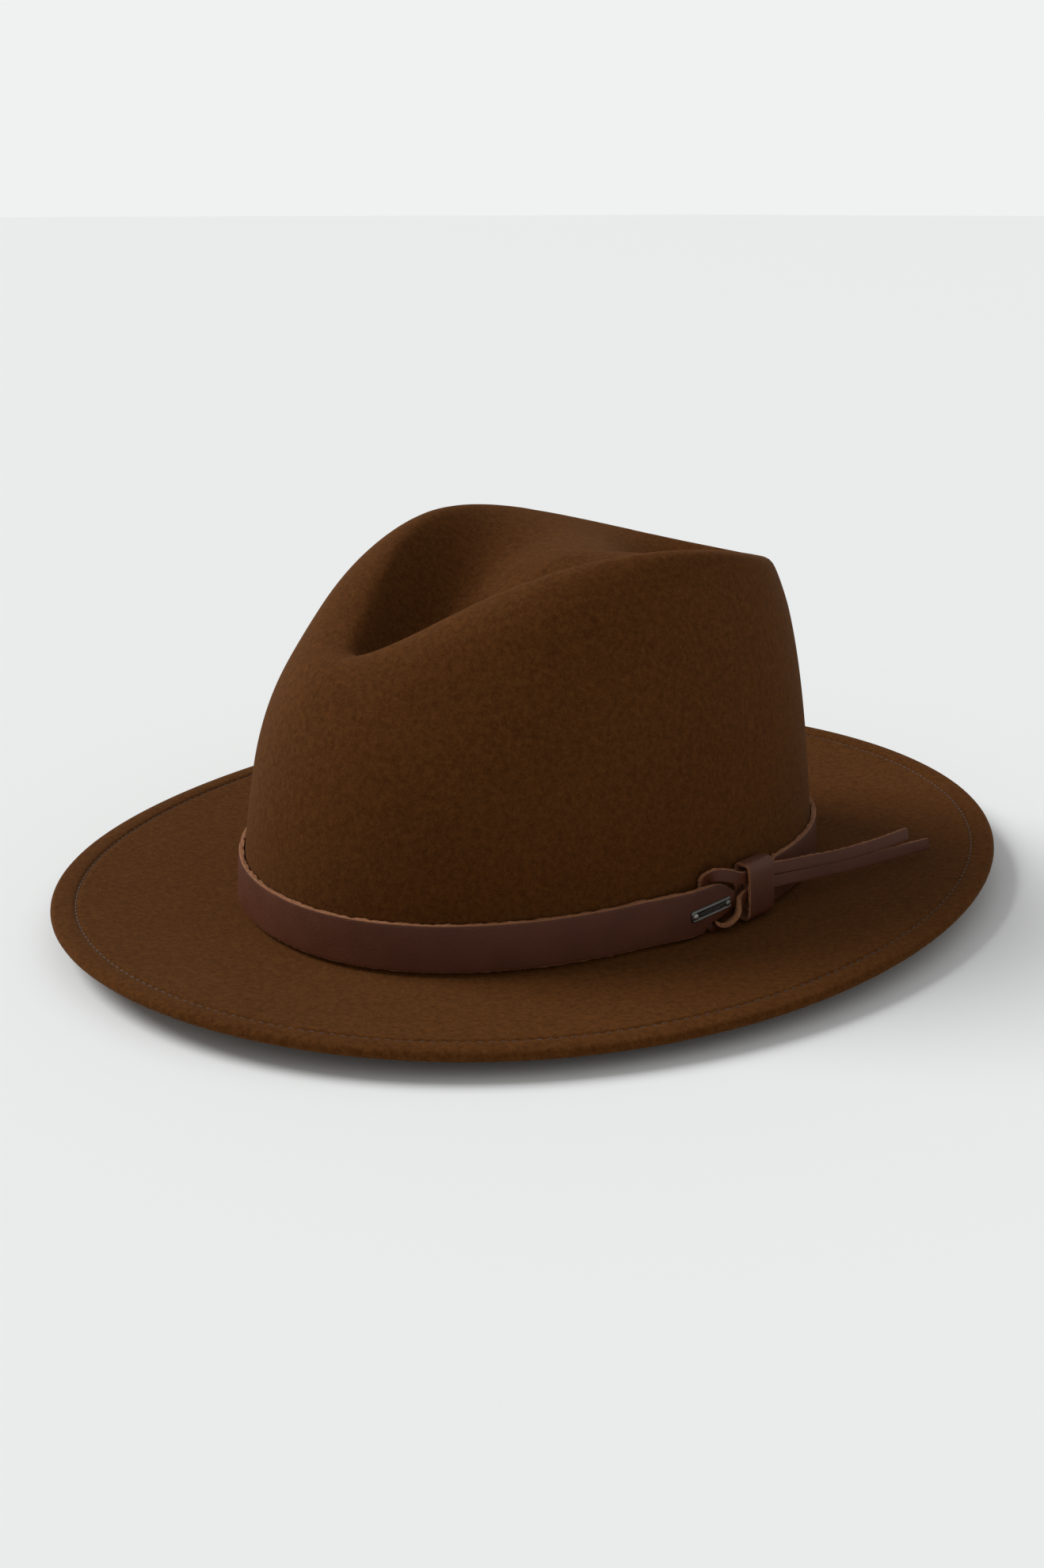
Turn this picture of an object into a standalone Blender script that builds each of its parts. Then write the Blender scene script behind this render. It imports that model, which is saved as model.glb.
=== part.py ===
"""Felt fedora with a teardrop crown, a flat welted brim and a knotted leather band.

Metres, +Z up.  The front of the hat faces -Y and the wearer's left side is +X.
The brim's outline is centred on the origin and the hat rests on the plane z = 0.
Angles go round the hat from the front (0) past the wearer's left (90) to the back (180).
"""
import math

import bmesh
import bpy
import numpy as np

# ---- driving dimensions -------------------------------------------------------------
BRIM_HALF_WIDTH = 0.1445
BRIM_HALF_LENGTH = 0.1736
BRIM_EGG = 0.008            # share by which the front half is broader than the back half
BRIM_EDGE_HEIGHT = 0.0113
BRIM_EDGE_SWAY = (-0.0018, 0.0013, 0.0012)   # cos 1t, 2t and 3t parts of the edge's height
BRIM_RISE = 1.4             # power of the brim's rise from the crown to the edge
WELT_WIDTH = 0.0080         # the edge is turned under this far
WELT_EXTRA = 0.0009         # thickness that the turned edge adds
WELT_ROLL = 0.0007          # fall of the edge beyond the stitched groove

FELT = 0.0024
FOOT_HALF_WIDTH = 0.0854    # crown at the brim, outer face of the felt
FOOT_HALF_LENGTH = 0.1057
FOOT_BACK = -0.0036         # the crown sits this far towards the front of the brim
FOOT_FULLNESS = 0.947       # power under 1 makes the oval fuller than an ellipse
FOOT_HEIGHT = 0.0034
FOOT_SWAY = -0.0016         # front and back of the crown's foot are lower than its sides
FOOT_CHAMFER = 0.0010

RIDGE_HALF_WIDTH = 0.0480   # the teardrop ridge round the top dent
RIDGE_TAPER = (-0.259, -0.161)
RIDGE_HALF_LENGTH = 0.0793
RIDGE_BACK = 0.0095
RIDGE_HEIGHT = 0.1092
RIDGE_SWAY = (-0.0037, -0.0121, -0.0031)
LIP_REACH = 0.0080             # the front of the ridge comes forward to a point
LIP_SPREAD = 0.07
WALL_POWER = (1.67, 0.66, 0.02)
WALL_POWER_LEAST = 1.5
WALL_TAPER = 0.139
PINCH_LEFT = 0.0024            # depth of the hollows pressed in at the front of the crown
PINCH_RIGHT = 0.0010
PINCH_TURN = math.radians(42)
PINCH_SPREAD = math.radians(15)
PINCH_HEIGHT = 0.088
PINCH_REACH = 0.015
SPINE_HALF_LENGTH = 0.0510     # bottom line of the dent
SPINE_BACK = -0.0060
SPINE_HEIGHT = 0.0955
SPINE_SWAY = (-0.0105, -0.0090, 0.0060)
DENT_FLOOR_START = 0.64        # share of the way in at which the dent's floor begins
CROWN_SOFTNESS = 0.008         # width of the rounding along the crown's profile

GAP = 0.0003                # running gap between pieces that touch
STRAP = 0.0018
STRAP_WIDTH = 0.0150
STRAP_LIFT = 0.0013         # lower edge of the band above the crown's foot
KNOT_ANGLE = math.radians(99.3)
KEEPER = 0.0012
KEEPER_HALF_WIDTH = 0.0062
LACE = 0.0016
LACE_WIDTH = 0.0040
TAIL_GAP = 0.0008             # room for a tail to swing clear of its loop
TAIL_SPLAY = math.radians(15)     # the tails leave the band outwards by this much
TAIL_LEAN = math.radians(12)      # and their upper edges lean to the crown by this much
UPPER_TAIL = 0.0620
LOWER_TAIL = 0.0720

BADGE_LENGTH = 0.0170
BADGE_HEIGHT = 0.0036
BADGE = 0.0008
BADGE_ANGLE = math.radians(89.2)
BADGE_TILT = math.radians(4.6)

SWEATBAND = 0.0010
SWEATBAND_WIDTH = 0.0320
REED_RADIUS = 0.0011
LINING = 0.0005
TIP_GAP = 0.0014               # room between the felt and the lining's tip
TIP_SEAM = 0.12                # the tip starts this share of a ring past the side panel
THREAD_RADIUS = 0.0004

SEGMENTS = 60
REST_HEIGHT = 0.0


# ---- the hat block: shape of the crown and the brim ---------------------------------
def waves(turn, parts):
    """Sum of cos 1t, cos 2t, ... with the given sizes."""
    return sum(size * np.cos((order + 1) * turn) for order, size in enumerate(parts))


def full_oval(turn, half_width, half_length, power):
    """Oval that starts at the front; a power under 1 fills its corners."""
    across = half_width * np.sign(np.sin(turn)) * np.abs(np.sin(turn)) ** power
    along = -half_length * np.sign(np.cos(turn)) * np.abs(np.cos(turn)) ** power
    return across, along


def foot(turn):
    """Outer face of the felt where the crown meets the brim."""
    across, along = full_oval(turn, FOOT_HALF_WIDTH, FOOT_HALF_LENGTH, FOOT_FULLNESS)
    height = FOOT_HEIGHT + FOOT_SWAY * np.cos(2 * turn)
    return np.stack([across, FOOT_BACK + along, height], -1)


def ridge(turn):
    """Top line of the crown round the dent."""
    across = RIDGE_HALF_WIDTH * np.sin(turn) * (1 + waves(turn, RIDGE_TAPER))
    lip = LIP_REACH * np.exp((np.cos(turn) - 1) / LIP_SPREAD)
    along = RIDGE_BACK - RIDGE_HALF_LENGTH * np.cos(turn) - lip
    return np.stack([across, along, RIDGE_HEIGHT + waves(turn, RIDGE_SWAY)], -1)


def brim_edge(turn):
    """Upper outline of the brim."""
    across = BRIM_HALF_WIDTH * np.sin(turn) * (1 + BRIM_EGG * np.cos(turn))
    along = -BRIM_HALF_LENGTH * np.cos(turn)
    return np.stack([across, along, BRIM_EDGE_HEIGHT + waves(turn, BRIM_EDGE_SWAY)], -1)


def spine(turn):
    """Bottom line of the dent, on the hat's middle plane."""
    along = SPINE_BACK - SPINE_HALF_LENGTH * np.cos(turn)
    return np.stack([0 * turn, along, SPINE_HEIGHT + waves(turn, SPINE_SWAY)], -1)


def pinch(turn, climb, height):
    """Depth of the hollow pressed into the crown's wall by hand."""
    side = math.acos(math.cos(turn))
    deepest = PINCH_LEFT if math.sin(turn) > 0 else PINCH_RIGHT
    spread = math.exp(-((side - PINCH_TURN) / PINCH_SPREAD) ** 2)
    reach = np.exp(-((height - PINCH_HEIGHT) / PINCH_REACH) ** 2)
    return deepest * spread * reach * (1 - climb ** 12)


def crown_profile(turn):
    """Crown from its foot over the ridge to the dent's spine, with the ridge rounded."""
    low, high, floor = foot(turn), ridge(turn), spine(turn)
    power = max(WALL_POWER[0] + waves(turn, WALL_POWER[1:]), WALL_POWER_LEAST)
    climb = np.sin(np.linspace(0, math.pi / 2, 90))[:, None] ** (2 / power)
    bulge = 1 - (1 - climb ** power) ** (1 / power)
    lean = WALL_TAPER * climb + (1 - WALL_TAPER) * bulge
    wall = np.concatenate([low[:2] + (high[:2] - low[:2]) * lean,
                           low[2] + (high[2] - low[2]) * climb], 1)
    wall -= pinch(turn, climb, wall[:, 2:]) * outward(turn)
    inward = np.linspace(0, 1, 60)[1:, None]
    fall = np.minimum(inward / DENT_FLOOR_START, 1)
    dent = high + (floor - high) * np.concatenate(
        [inward, inward, fall ** 1.5 * (2.5 - 1.5 * fall)], 1)
    return soften(np.concatenate([wall, dent]))


def lengths(points):
    """Distance of each point along a line from its start."""
    steps = np.linalg.norm(np.diff(points, axis=0), axis=1)
    return np.concatenate([[0], np.cumsum(steps)])


def along_line(points, places):
    """Points of a line at the given distances from its start."""
    reach = lengths(points)
    return np.stack([np.interp(places, reach, points[:, axis]) for axis in range(3)], -1)


def soften(points):
    """Running mean along a profile that keeps its two ends where they are."""
    total = lengths(points)[-1]
    places = np.linspace(0, total, 400)
    even = along_line(points, places)
    sums = np.concatenate([np.zeros((1, 3)), np.cumsum(even, axis=0)])
    reach = np.minimum(CROWN_SOFTNESS / 2, np.minimum(places, total - places))
    count = (reach / places[1] + 1e-6).astype(int)
    index = np.arange(len(places))
    low, high = index - count, index + count + 1
    return (sums[high] - sums[low]) / (high - low)[:, None]


def outward(turn):
    """Level direction straight out of the crown's foot."""
    step = 0.001
    ahead = foot(turn + step) - foot(turn - step)
    side = np.array([ahead[1], -ahead[0], 0.0])
    return side / np.linalg.norm(side)


def past(turn, run):
    """Angle reached by going a distance round the crown's foot from another angle."""
    step = 0.05
    pace = np.linalg.norm(foot(turn + step) - foot(turn - step)) / (2 * step)
    return turn + run / pace


def crown_wall(turn, height):
    """Outer face of the crown at a height above its foot."""
    line = crown_profile(turn)
    top = int(np.argmax(line[:, 2]))
    level = line[0, 2] + height
    return np.array([np.interp(level, line[:top, 2], line[:top, axis]) for axis in (0, 1)]
                    + [level])


def by_band(turn, out, height):
    """Point by the band: angle, distance out of the felt, height above its lower edge."""
    return crown_wall(turn, STRAP_LIFT + height) + out * outward(turn)


def skin(turns, share_rings):
    """Outer skin points and inward normals, ring by ring from the brim's edge to the spine."""
    brim_places, wall_places, dent_places = share_rings
    sides = []
    for turn in turns:
        start, edge = foot(turn), brim_edge(turn)
        away = outward(turn)
        line = crown_profile(turn)
        top = int(np.argmax(line[:, 2]))
        wall, dent = line[:top + 1], line[top:]
        brim = []
        for share in brim_places:
            point = start + (edge - start) * share
            point[2] = start[2] + (edge[2] - start[2]) * share ** BRIM_RISE
            welt_start = 1 - WELT_WIDTH / np.linalg.norm(edge[:2] - start[:2])
            beyond = max(0.0, (share - welt_start) / (1 - welt_start))
            point[2] -= WELT_ROLL * beyond ** 2
            brim.append(point)
        brim.append(start + FOOT_CHAMFER * away)
        first = FOOT_CHAMFER
        wall_run = first + (lengths(wall)[-1] - first) * np.array(wall_places)
        dent_run = lengths(dent)[-1] * np.array(dent_places)
        sides.append(np.concatenate([brim, along_line(wall, wall_run),
                                     along_line(dent, dent_run)]))
    points = np.array(sides).transpose(1, 0, 2)
    points[-1, :, 0] = 0
    return points, inward_normals(points)


def inward_normals(points):
    """Unit normals of a ring grid, pointing into the hat."""
    down_line = np.gradient(points, axis=0)
    round_line = np.roll(points, -1, axis=1) - np.roll(points, 1, axis=1)
    round_line[-1] = round_line[-2]
    normals = np.cross(down_line, round_line)
    normals /= np.linalg.norm(normals, axis=-1, keepdims=True)
    mirror = np.roll(normals[-1][::-1], 1, axis=0) * [-1, 1, 1]
    normals[-1] += mirror
    normals[-1, :, 0] = 0
    normals[-1] /= np.linalg.norm(normals[-1], axis=-1, keepdims=True)
    return normals


# ---- making meshes ------------------------------------------------------------------
def colour(name, shade, roughness, metallic=0.0):
    """A plain material for one piece."""
    material = bpy.data.materials.new(name)
    material.use_nodes = True
    shader = material.node_tree.nodes["Principled BSDF"]
    shader.inputs["Base Color"].default_value = (*shade, 1.0)
    shader.inputs["Roughness"].default_value = roughness
    shader.inputs["Metallic"].default_value = metallic
    return material


def loft(rings, ends):
    """Extrude the first ring through all the others, then cap, merge or join the ends."""
    bm = bmesh.new()
    place = bm.verts.layers.int.new("place")
    bmesh.ops.create_circle(bm, segments=len(rings[0]), radius=1)
    for index, vert in enumerate(bm.verts):
        vert[place] = index
        vert.co = rings[0][index]
    first = last = bm.edges[:]
    for ring in rings[1:]:
        grown = bmesh.ops.extrude_edge_only(bm, edges=last)["geom"]
        last = [item for item in grown if isinstance(item, bmesh.types.BMEdge)]
        for vert in (item for item in grown if isinstance(item, bmesh.types.BMVert)):
            vert.co = ring[vert[place]]
    if ends == "join":
        bmesh.ops.bridge_loops(bm, edges=first + last)
    if ends == "cap":
        bmesh.ops.contextual_create(bm, geom=first)
        bmesh.ops.contextual_create(bm, geom=last)
    if ends == "merge":
        bmesh.ops.remove_doubles(bm, verts=bm.verts, dist=1e-6)
    bmesh.ops.recalc_face_normals(bm, faces=bm.faces)
    if bm.calc_volume(signed=True) < 0:
        bmesh.ops.reverse_faces(bm, faces=bm.faces)
    return bm


def add_piece(name, bm, material, pivot=None, sharp=35):
    """Put a finished mesh in the scene; a moving piece gets its origin on its pivot."""
    mesh = bpy.data.meshes.new(name)
    if pivot is not None:
        bmesh.ops.translate(bm, verts=bm.verts, vec=-pivot)
    bm.to_mesh(mesh)
    bm.free()
    mesh.materials.append(material)
    mesh.shade_smooth()
    mesh.set_sharp_from_angle(angle=math.radians(sharp))
    piece = bpy.data.objects.new(name, mesh)
    if pivot is not None:
        piece.location = pivot
    bpy.context.scene.collection.objects.link(piece)
    return piece


def strip_rings(centres, normals, width, thickness):
    """Four-cornered rings of a flat leather strip along its centre line."""
    centres, normals = np.array(centres), np.array(normals)
    heading = np.gradient(centres, axis=0)
    heading /= np.linalg.norm(heading, axis=1, keepdims=True)
    across = np.cross(normals, heading)
    across /= np.linalg.norm(across, axis=1, keepdims=True)
    face = np.cross(heading, across)
    corners = [(-1, -1), (1, -1), (1, 1), (-1, 1)]
    return [[centre + side * width / 2 * wide + up * thickness / 2 * thick
             for side, up in corners]
            for centre, wide, thick in zip(centres, across, face)]


def smooth_route(points, count):
    """Curve through hand-set points, as a Catmull-Rom line with even counts."""
    points = np.array(points, float)
    padded = np.concatenate([[2 * points[0] - points[1]], points,
                             [2 * points[-1] - points[-2]]])
    route = []
    for place in np.linspace(0, len(points) - 1, count):
        index = min(int(place), len(points) - 2)
        part = place - index
        before, start, end, after = padded[index:index + 4]
        route.append(0.5 * (2 * start + (end - before) * part
                            + (2 * before - 5 * start + 4 * end - after) * part ** 2
                            + (3 * start - before - 3 * end + after) * part ** 3))
    return np.array(route)


def ring_round(turns, centre_at, radius, sides):
    """Rings of a thin cord that runs right round the hat."""
    rings = []
    for turn in turns:
        centre, away = centre_at(turn), outward(turn)
        rings.append([centre + radius * (math.cos(angle) * away
                                         + math.sin(angle) * np.array([0, 0, 1.0]))
                      for angle in np.arange(sides) * math.tau / sides])
    return rings


# ---- the felt body ------------------------------------------------------------------
TURNS = np.arange(SEGMENTS) * math.tau / SEGMENTS
BRIM_SHARES = (1.0, 0.93, 0.87, 0.84, 0.66, 0.46, 0.27, 0.11)
WALL_SHARES = (0.0, 0.12, 0.26, 0.42, 0.57, 0.70, 0.80, 0.88, 0.94, 0.975, 1.0)
DENT_SHARES = (0.08, 0.20, 0.38, 0.60, 0.80, 1.0)
FOOT_RING = len(BRIM_SHARES)
GROOVE_RING = 2


def felt_body(points, normals):
    """One piece of felt: outer skin, turned-under edge, and the inner skin."""
    depth = np.full(len(points), FELT)
    depth[:GROOVE_RING + 1] += WELT_EXTRA
    depth[FOOT_RING:FOOT_RING + 2] *= 1.15
    inner = points + normals * depth[:, None, None]
    inner[0] = points[0] - [0, 0, depth[0]]
    inner[-1, :, 0] = 0
    inner[..., 2] = np.maximum(inner[..., 2], REST_HEIGHT)
    rings = np.concatenate([points[::-1], inner])
    felt = colour("felt", (0.115, 0.055, 0.018), 0.95)
    return add_piece("felt_body", loft(rings, "merge"), felt)


def brim_stitching():
    """Thread in the groove where the turned-under edge is sewn."""
    def centre_at(turn):
        start, edge = foot(turn), brim_edge(turn)
        share = BRIM_SHARES[GROOVE_RING]
        point = start + (edge - start) * share
        rise = start[2] + (edge[2] - start[2]) * share ** BRIM_RISE
        point[2] = rise + GAP + THREAD_RADIUS
        return point
    thread = colour("brim_thread", (0.05, 0.024, 0.010), 0.8)
    rings = ring_round(TURNS, centre_at, THREAD_RADIUS, 4)
    return add_piece("brim_stitching", loft(rings, "join"), thread)


# ---- the leather band, its keeper and its laces -------------------------------------
# the strap's tip: degrees from its very end, and how far each edge is cut in there
TIP_LOWER_CUT = ((0, 0.0056), (1.1, 0.0044), (3.1, 0.0032), (4.7, 0.0027), (6.2, 0.0))
TIP_UPPER_CUT = ((0, 0.0044), (1.1, 0.0024), (2.4, 0.0009), (3.8, 0.0))


def band_strap(leather):
    """Strap once round the crown, from its tapered tip to its end under the keeper."""
    tip = KNOT_ANGLE - math.radians(5.2)
    end = KNOT_ANGLE - math.radians(1.5) - math.tau
    grid = [turn for turn in np.concatenate([TURNS - math.tau, TURNS]) if end < turn < tip]
    near = [tip - math.radians(step) for step in (1.1, 2.4, 3.1, 4.7, 6.2)]
    near += [end + math.radians(step) for step in (3.0, 5.0, 8.0)]
    rings = []
    for turn in sorted(set(grid + near + [tip, end]), reverse=True):
        from_tip = math.degrees(tip - turn)
        from_end = math.degrees(turn - end)
        narrow = 0.0020 * min(1.0, max(0.0, (10 - from_end) / 4))
        low = narrow + np.interp(from_tip, *zip(*TIP_LOWER_CUT))
        high = STRAP_WIDTH - narrow - np.interp(from_tip, *zip(*TIP_UPPER_CUT))
        over_lace = (LACE + GAP) * min(1.0, max(0.0, (17 - from_tip) / 8))
        over_keeper = (KEEPER + GAP) * min(1.0, max(0.0, (9.5 - from_end) / 4))
        inner = GAP + over_lace + over_keeper
        rings.append([by_band(turn, inner, low), by_band(turn, inner + STRAP, low),
                      by_band(turn, inner + STRAP, high), by_band(turn, inner, high)])
    return add_piece("band_strap", loft(rings, "cap"), leather)


def band_keeper(leather):
    """Rounded loop round the rear strap and both laces."""
    inner_out = GAP + KEEPER
    outer_out = 5 * GAP + KEEPER + STRAP + LACE
    low, high = 0.0010, STRAP_WIDTH + 0.0026
    middle_out, middle_up = (inner_out + outer_out) / 2, (low + high) / 2
    rings = []
    for step in range(24):
        angle = math.tau * step / 24
        square = [abs(math.cos(angle)) ** 0.35, abs(math.sin(angle)) ** 0.3]
        side = np.array([math.copysign(square[0], math.cos(angle)),
                         math.copysign(square[1], math.sin(angle))])
        half = np.array([(outer_out - inner_out) / 2, (high - low) / 2])
        ring = []
        for thick, end in ((0, -1), (KEEPER, -1), (KEEPER, 0), (KEEPER, 1), (0, 1), (0, 0)):
            out, up = side * (half + thick) + (middle_out, middle_up)
            ring.append(by_band(past(KNOT_ANGLE, end * KEEPER_HALF_WIDTH), out, up))
        rings.append(ring)
    return add_piece("band_keeper", loft(rings, "join"), leather)


LACE_OUT = 3 * GAP + KEEPER + STRAP + LACE / 2
LACE_BACK = GAP + LACE / 2
EXIT_ANGLE = past(KNOT_ANGLE, KEEPER_HALF_WIDTH)
UPPER_ROOT = 0.0136
LOWER_ROOT = 0.0093
# route of each lace: degrees round the hat, distance out of the felt, height, roll in degrees
UPPER_LOOP = (
    (89.4, LACE_BACK, 0.0084, 0), (89.0, LACE_BACK, 0.0145, 0), (88.9, 0.0022, 0.0172, 0),
    (89.8, 0.0042, 0.0184, 0), (91.6, 0.0058, 0.0178, 0), (93.6, 0.0058, 0.0160, 0),
    (95.5, LACE_OUT, 0.0146, 0), (99.0, LACE_OUT, 0.0138, 0),
    (math.degrees(EXIT_ANGLE), LACE_OUT, UPPER_ROOT, 0))
LOWER_LOOP = (
    (90.2, LACE_BACK, 0.0076, 0), (90.2, LACE_BACK, 0.0030, 0), (90.3, 0.0026, 0.00105, 10),
    (91.5, 0.0054, 0.0014, 50), (93.0, 0.0068, 0.0038, 50), (94.3, 0.0056, 0.0060, 20),
    (95.5, LACE_OUT, 0.0077, 0), (97.5, LACE_OUT, 0.0088, 0), (99.5, LACE_OUT, 0.0092, 0),
    (math.degrees(EXIT_ANGLE), LACE_OUT, LOWER_ROOT, 0))


def lace_loop(name, route, leather):
    """Fixed half of a lace, from behind the strap's tip to the keeper's far side."""
    places = smooth_route(route, 30)
    centres, normals = [], []
    for degrees, out, height, _ in places:
        centres.append(by_band(math.radians(degrees), out, height))
    heading = np.gradient(np.array(centres), axis=0)
    for (degrees, _, _, roll), ahead in zip(places, heading):
        away = outward(math.radians(degrees))
        flat = np.cross(ahead, away)
        flat /= np.linalg.norm(flat)
        angle = math.radians(roll)
        normals.append(away * math.cos(angle) + flat * math.sin(angle))
    rings = strip_rings(centres, normals, LACE_WIDTH, LACE)
    return add_piece(name, loft(rings, "cap"), leather)


def tail_frame(root_height):
    """Pivot, heading, width axis and face direction of a tail."""
    pivot = by_band(past(EXIT_ANGLE, TAIL_GAP), LACE_OUT, root_height)
    away = outward(EXIT_ANGLE)
    along = np.cross([0, 0, 1.0], away)
    heading = along * math.cos(TAIL_SPLAY) + away * math.sin(TAIL_SPLAY)
    face = np.cross(heading, [0, 0, 1.0])
    axis = np.array([0, 0, math.cos(TAIL_LEAN)]) - face * math.sin(TAIL_LEAN)
    return pivot, heading, axis, np.cross(heading, axis)


def lace_tail(name, root_height, length, droop, leather):
    """Free end of a lace; droop is its drop at evenly spaced places along it."""
    pivot, heading, axis, face = tail_frame(root_height)
    shape = [(length * index / (len(droop) - 1), drop) for index, drop in enumerate(droop)]
    places = smooth_route([(run, drop, 0) for run, drop in shape], 14)
    centres = [pivot + heading * run - axis * drop for run, drop, _ in places]
    rings = strip_rings(centres, [face] * len(centres), LACE_WIDTH, LACE)
    return add_piece(name, loft(rings, "cap"), leather, pivot=pivot)


# ---- badge and thread tacks on the band ---------------------------------------------
def on_badge(along, up, out):
    """Point on the badge: along it, up it, and out of the strap's face."""
    run = along * math.cos(BADGE_TILT) - up * math.sin(BADGE_TILT)
    rise = along * math.sin(BADGE_TILT) + up * math.cos(BADGE_TILT)
    turn = past(BADGE_ANGLE, run)
    face = GAP + LACE + GAP + STRAP + GAP
    return by_band(turn, face + out, STRAP_WIDTH / 2 + rise)


def badge_plate(metal):
    """Plain bent metal bar across the strap's tip."""
    rings = []
    for share in np.linspace(-1, 1, 9):
        run = share * BADGE_LENGTH / 2
        rings.append([on_badge(run, -BADGE_HEIGHT / 2, 0), on_badge(run, -BADGE_HEIGHT / 2, BADGE),
                      on_badge(run, BADGE_HEIGHT / 2, BADGE), on_badge(run, BADGE_HEIGHT / 2, 0)])
    return add_piece("badge_plate", loft(rings, "cap"), metal)


def badge_rivet(name, side, metal):
    """Domed rivet that holds one end of the badge."""
    middle = side * (BADGE_LENGTH / 2 - 0.0016)
    rings = []
    for radius, rise in ((0.0010, 0), (0.0010, 0.0003), (0.0007, 0.0006), (0.0003, 0.0007)):
        rings.append([on_badge(middle + radius * math.cos(angle), radius * math.sin(angle),
                               BADGE + GAP + rise)
                      for angle in np.arange(10) * math.tau / 10])
    return add_piece(name, loft(rings, "cap"), metal)


def strap_tack(name, turn, thread):
    """Short upright stitch that tacks the strap to the crown."""
    half, thick = 0.0004, 0.0005
    rings = []
    for height in np.linspace(0.0045, 0.0105, 5):
        out = GAP + STRAP + GAP
        point = by_band(turn, out, height)
        away = outward(turn)
        along = np.cross([0, 0, 1.0], away)
        rings.append([point + along * half * side + away * thick * up
                      for side, up in ((-1, 0), (1, 0), (1, 1), (-1, 1))])
    return add_piece(name, loft(rings, "cap"), thread)


# ---- inside the crown ---------------------------------------------------------------
def inside_wall(turn, out, height):
    """Point inside the crown: distance from the felt's inner face, height above the foot."""
    return crown_wall(turn, height) - (FELT + out) * outward(turn)


def sweatband(leather):
    """Leather band that goes round the head."""
    behind = 3 * GAP + LINING
    low, high = 0.0016, 0.0016 + SWEATBAND_WIDTH
    rings = []
    for turn in TURNS:
        rings.append([inside_wall(turn, behind, low), inside_wall(turn, behind, high),
                      inside_wall(turn, behind + SWEATBAND, high),
                      inside_wall(turn, behind + SWEATBAND, low)])
    return add_piece("sweatband", loft(rings, "join"), leather)


def sweatband_reed(leather):
    """Piped lower edge of the sweatband."""
    def centre_at(turn):
        out = 3 * GAP + LINING + SWEATBAND / 2
        return inside_wall(turn, out, 0.0016) - [0, 0, GAP + REED_RADIUS]
    return add_piece("sweatband_reed", loft(ring_round(TURNS, centre_at, REED_RADIUS, 6), "join"),
                     leather)


def sweatband_bow(ribbon):
    """Small flat bow over the sweatband's seam at the back."""
    out = 5 * GAP + LINING + SWEATBAND
    rings = []
    for run, half in ((-0.011, 0.0040), (-0.006, 0.0036), (-0.0018, 0.0018), (0.0018, 0.0018),
                      (0.006, 0.0036), (0.011, 0.0040)):
        turn = past(math.pi, run)
        rings.append([inside_wall(turn, out, 0.0120 - half), inside_wall(turn, out, 0.0120 + half),
                      inside_wall(turn, out + 0.0012, 0.0120 + half),
                      inside_wall(turn, out + 0.0012, 0.0120 - half)])
    return add_piece("sweatband_bow", loft(rings, "cap"), ribbon)


def lining(points, normals, satin):
    """Satin side panel and tip, a little inside the felt."""
    side_first, side_last = FOOT_RING + 2, FOOT_RING + 7
    panel = slice(side_first, side_last + 1)
    outer = points[panel] + normals[panel] * (FELT + 2 * GAP)
    inner = outer + normals[panel] * LINING
    add_piece("lining_side", loft(np.concatenate([outer, inner[::-1]]), "join"), satin)
    outer = points + normals * (FELT + TIP_GAP)
    inner = outer + normals * LINING
    outer[-1, :, 0] = inner[-1, :, 0] = 0
    seam = outer[side_last:side_last + 2], inner[side_last:side_last + 2]
    start = [pair[0] + (pair[1] - pair[0]) * TIP_SEAM for pair in seam]
    tip = np.concatenate([outer[side_last + 1:][::-1], [start[0]], [start[1]],
                          inner[side_last + 1:]])
    add_piece("lining_tip", loft(tip, "merge"), satin)


# ---- build --------------------------------------------------------------------------
def build():
    """Clear the scene and make every piece of the hat."""
    for old in list(bpy.data.objects):
        bpy.data.objects.remove(old, do_unlink=True)
    points, normals = skin(TURNS, (BRIM_SHARES, WALL_SHARES, DENT_SHARES))
    felt_body(points, normals)
    brim_stitching()
    leather = colour("band_leather", (0.085, 0.028, 0.012), 0.5)
    band_strap(leather)
    band_keeper(leather)
    lace_loop("lace_loop_upper", UPPER_LOOP, leather)
    lace_loop("lace_loop_lower", LOWER_LOOP, leather)
    lace_tail("tail_upper", UPPER_ROOT, UPPER_TAIL, (0, 0.0009, 0.0017, 0.0016, 0.0006), leather)
    lace_tail("tail_lower", LOWER_ROOT, LOWER_TAIL, (0, 0.0009, 0.0016, 0.0018, 0.0019), leather)
    metal = colour("badge_metal", (0.10, 0.11, 0.11), 0.35, 1.0)
    badge_plate(metal)
    badge_rivet("badge_rivet_front", -1, metal)
    badge_rivet("badge_rivet_rear", 1, metal)
    thread = colour("tack_thread", (0.07, 0.030, 0.012), 0.8)
    strap_tack("strap_tack_back", math.pi, thread)
    strap_tack("strap_tack_right", 1.5 * math.pi, thread)
    roan = colour("sweatband_leather", (0.09, 0.045, 0.022), 0.55)
    sweatband(roan)
    sweatband_reed(colour("reed_leather", (0.07, 0.035, 0.018), 0.6))
    sweatband_bow(colour("bow_ribbon", (0.03, 0.018, 0.010), 0.5))
    lining(points, normals, colour("lining_satin", (0.09, 0.055, 0.030), 0.35))


build()
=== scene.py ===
"""Looks of a felt fedora with a teardrop crown, a welted brim and a knotted leather band.

Metres, +Z up.  The front of the hat faces -Y and the wearer's left side is +X.
Turns go round the hat from the front past the wearer's left to the back.
"""
from functools import lru_cache
import math

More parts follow.
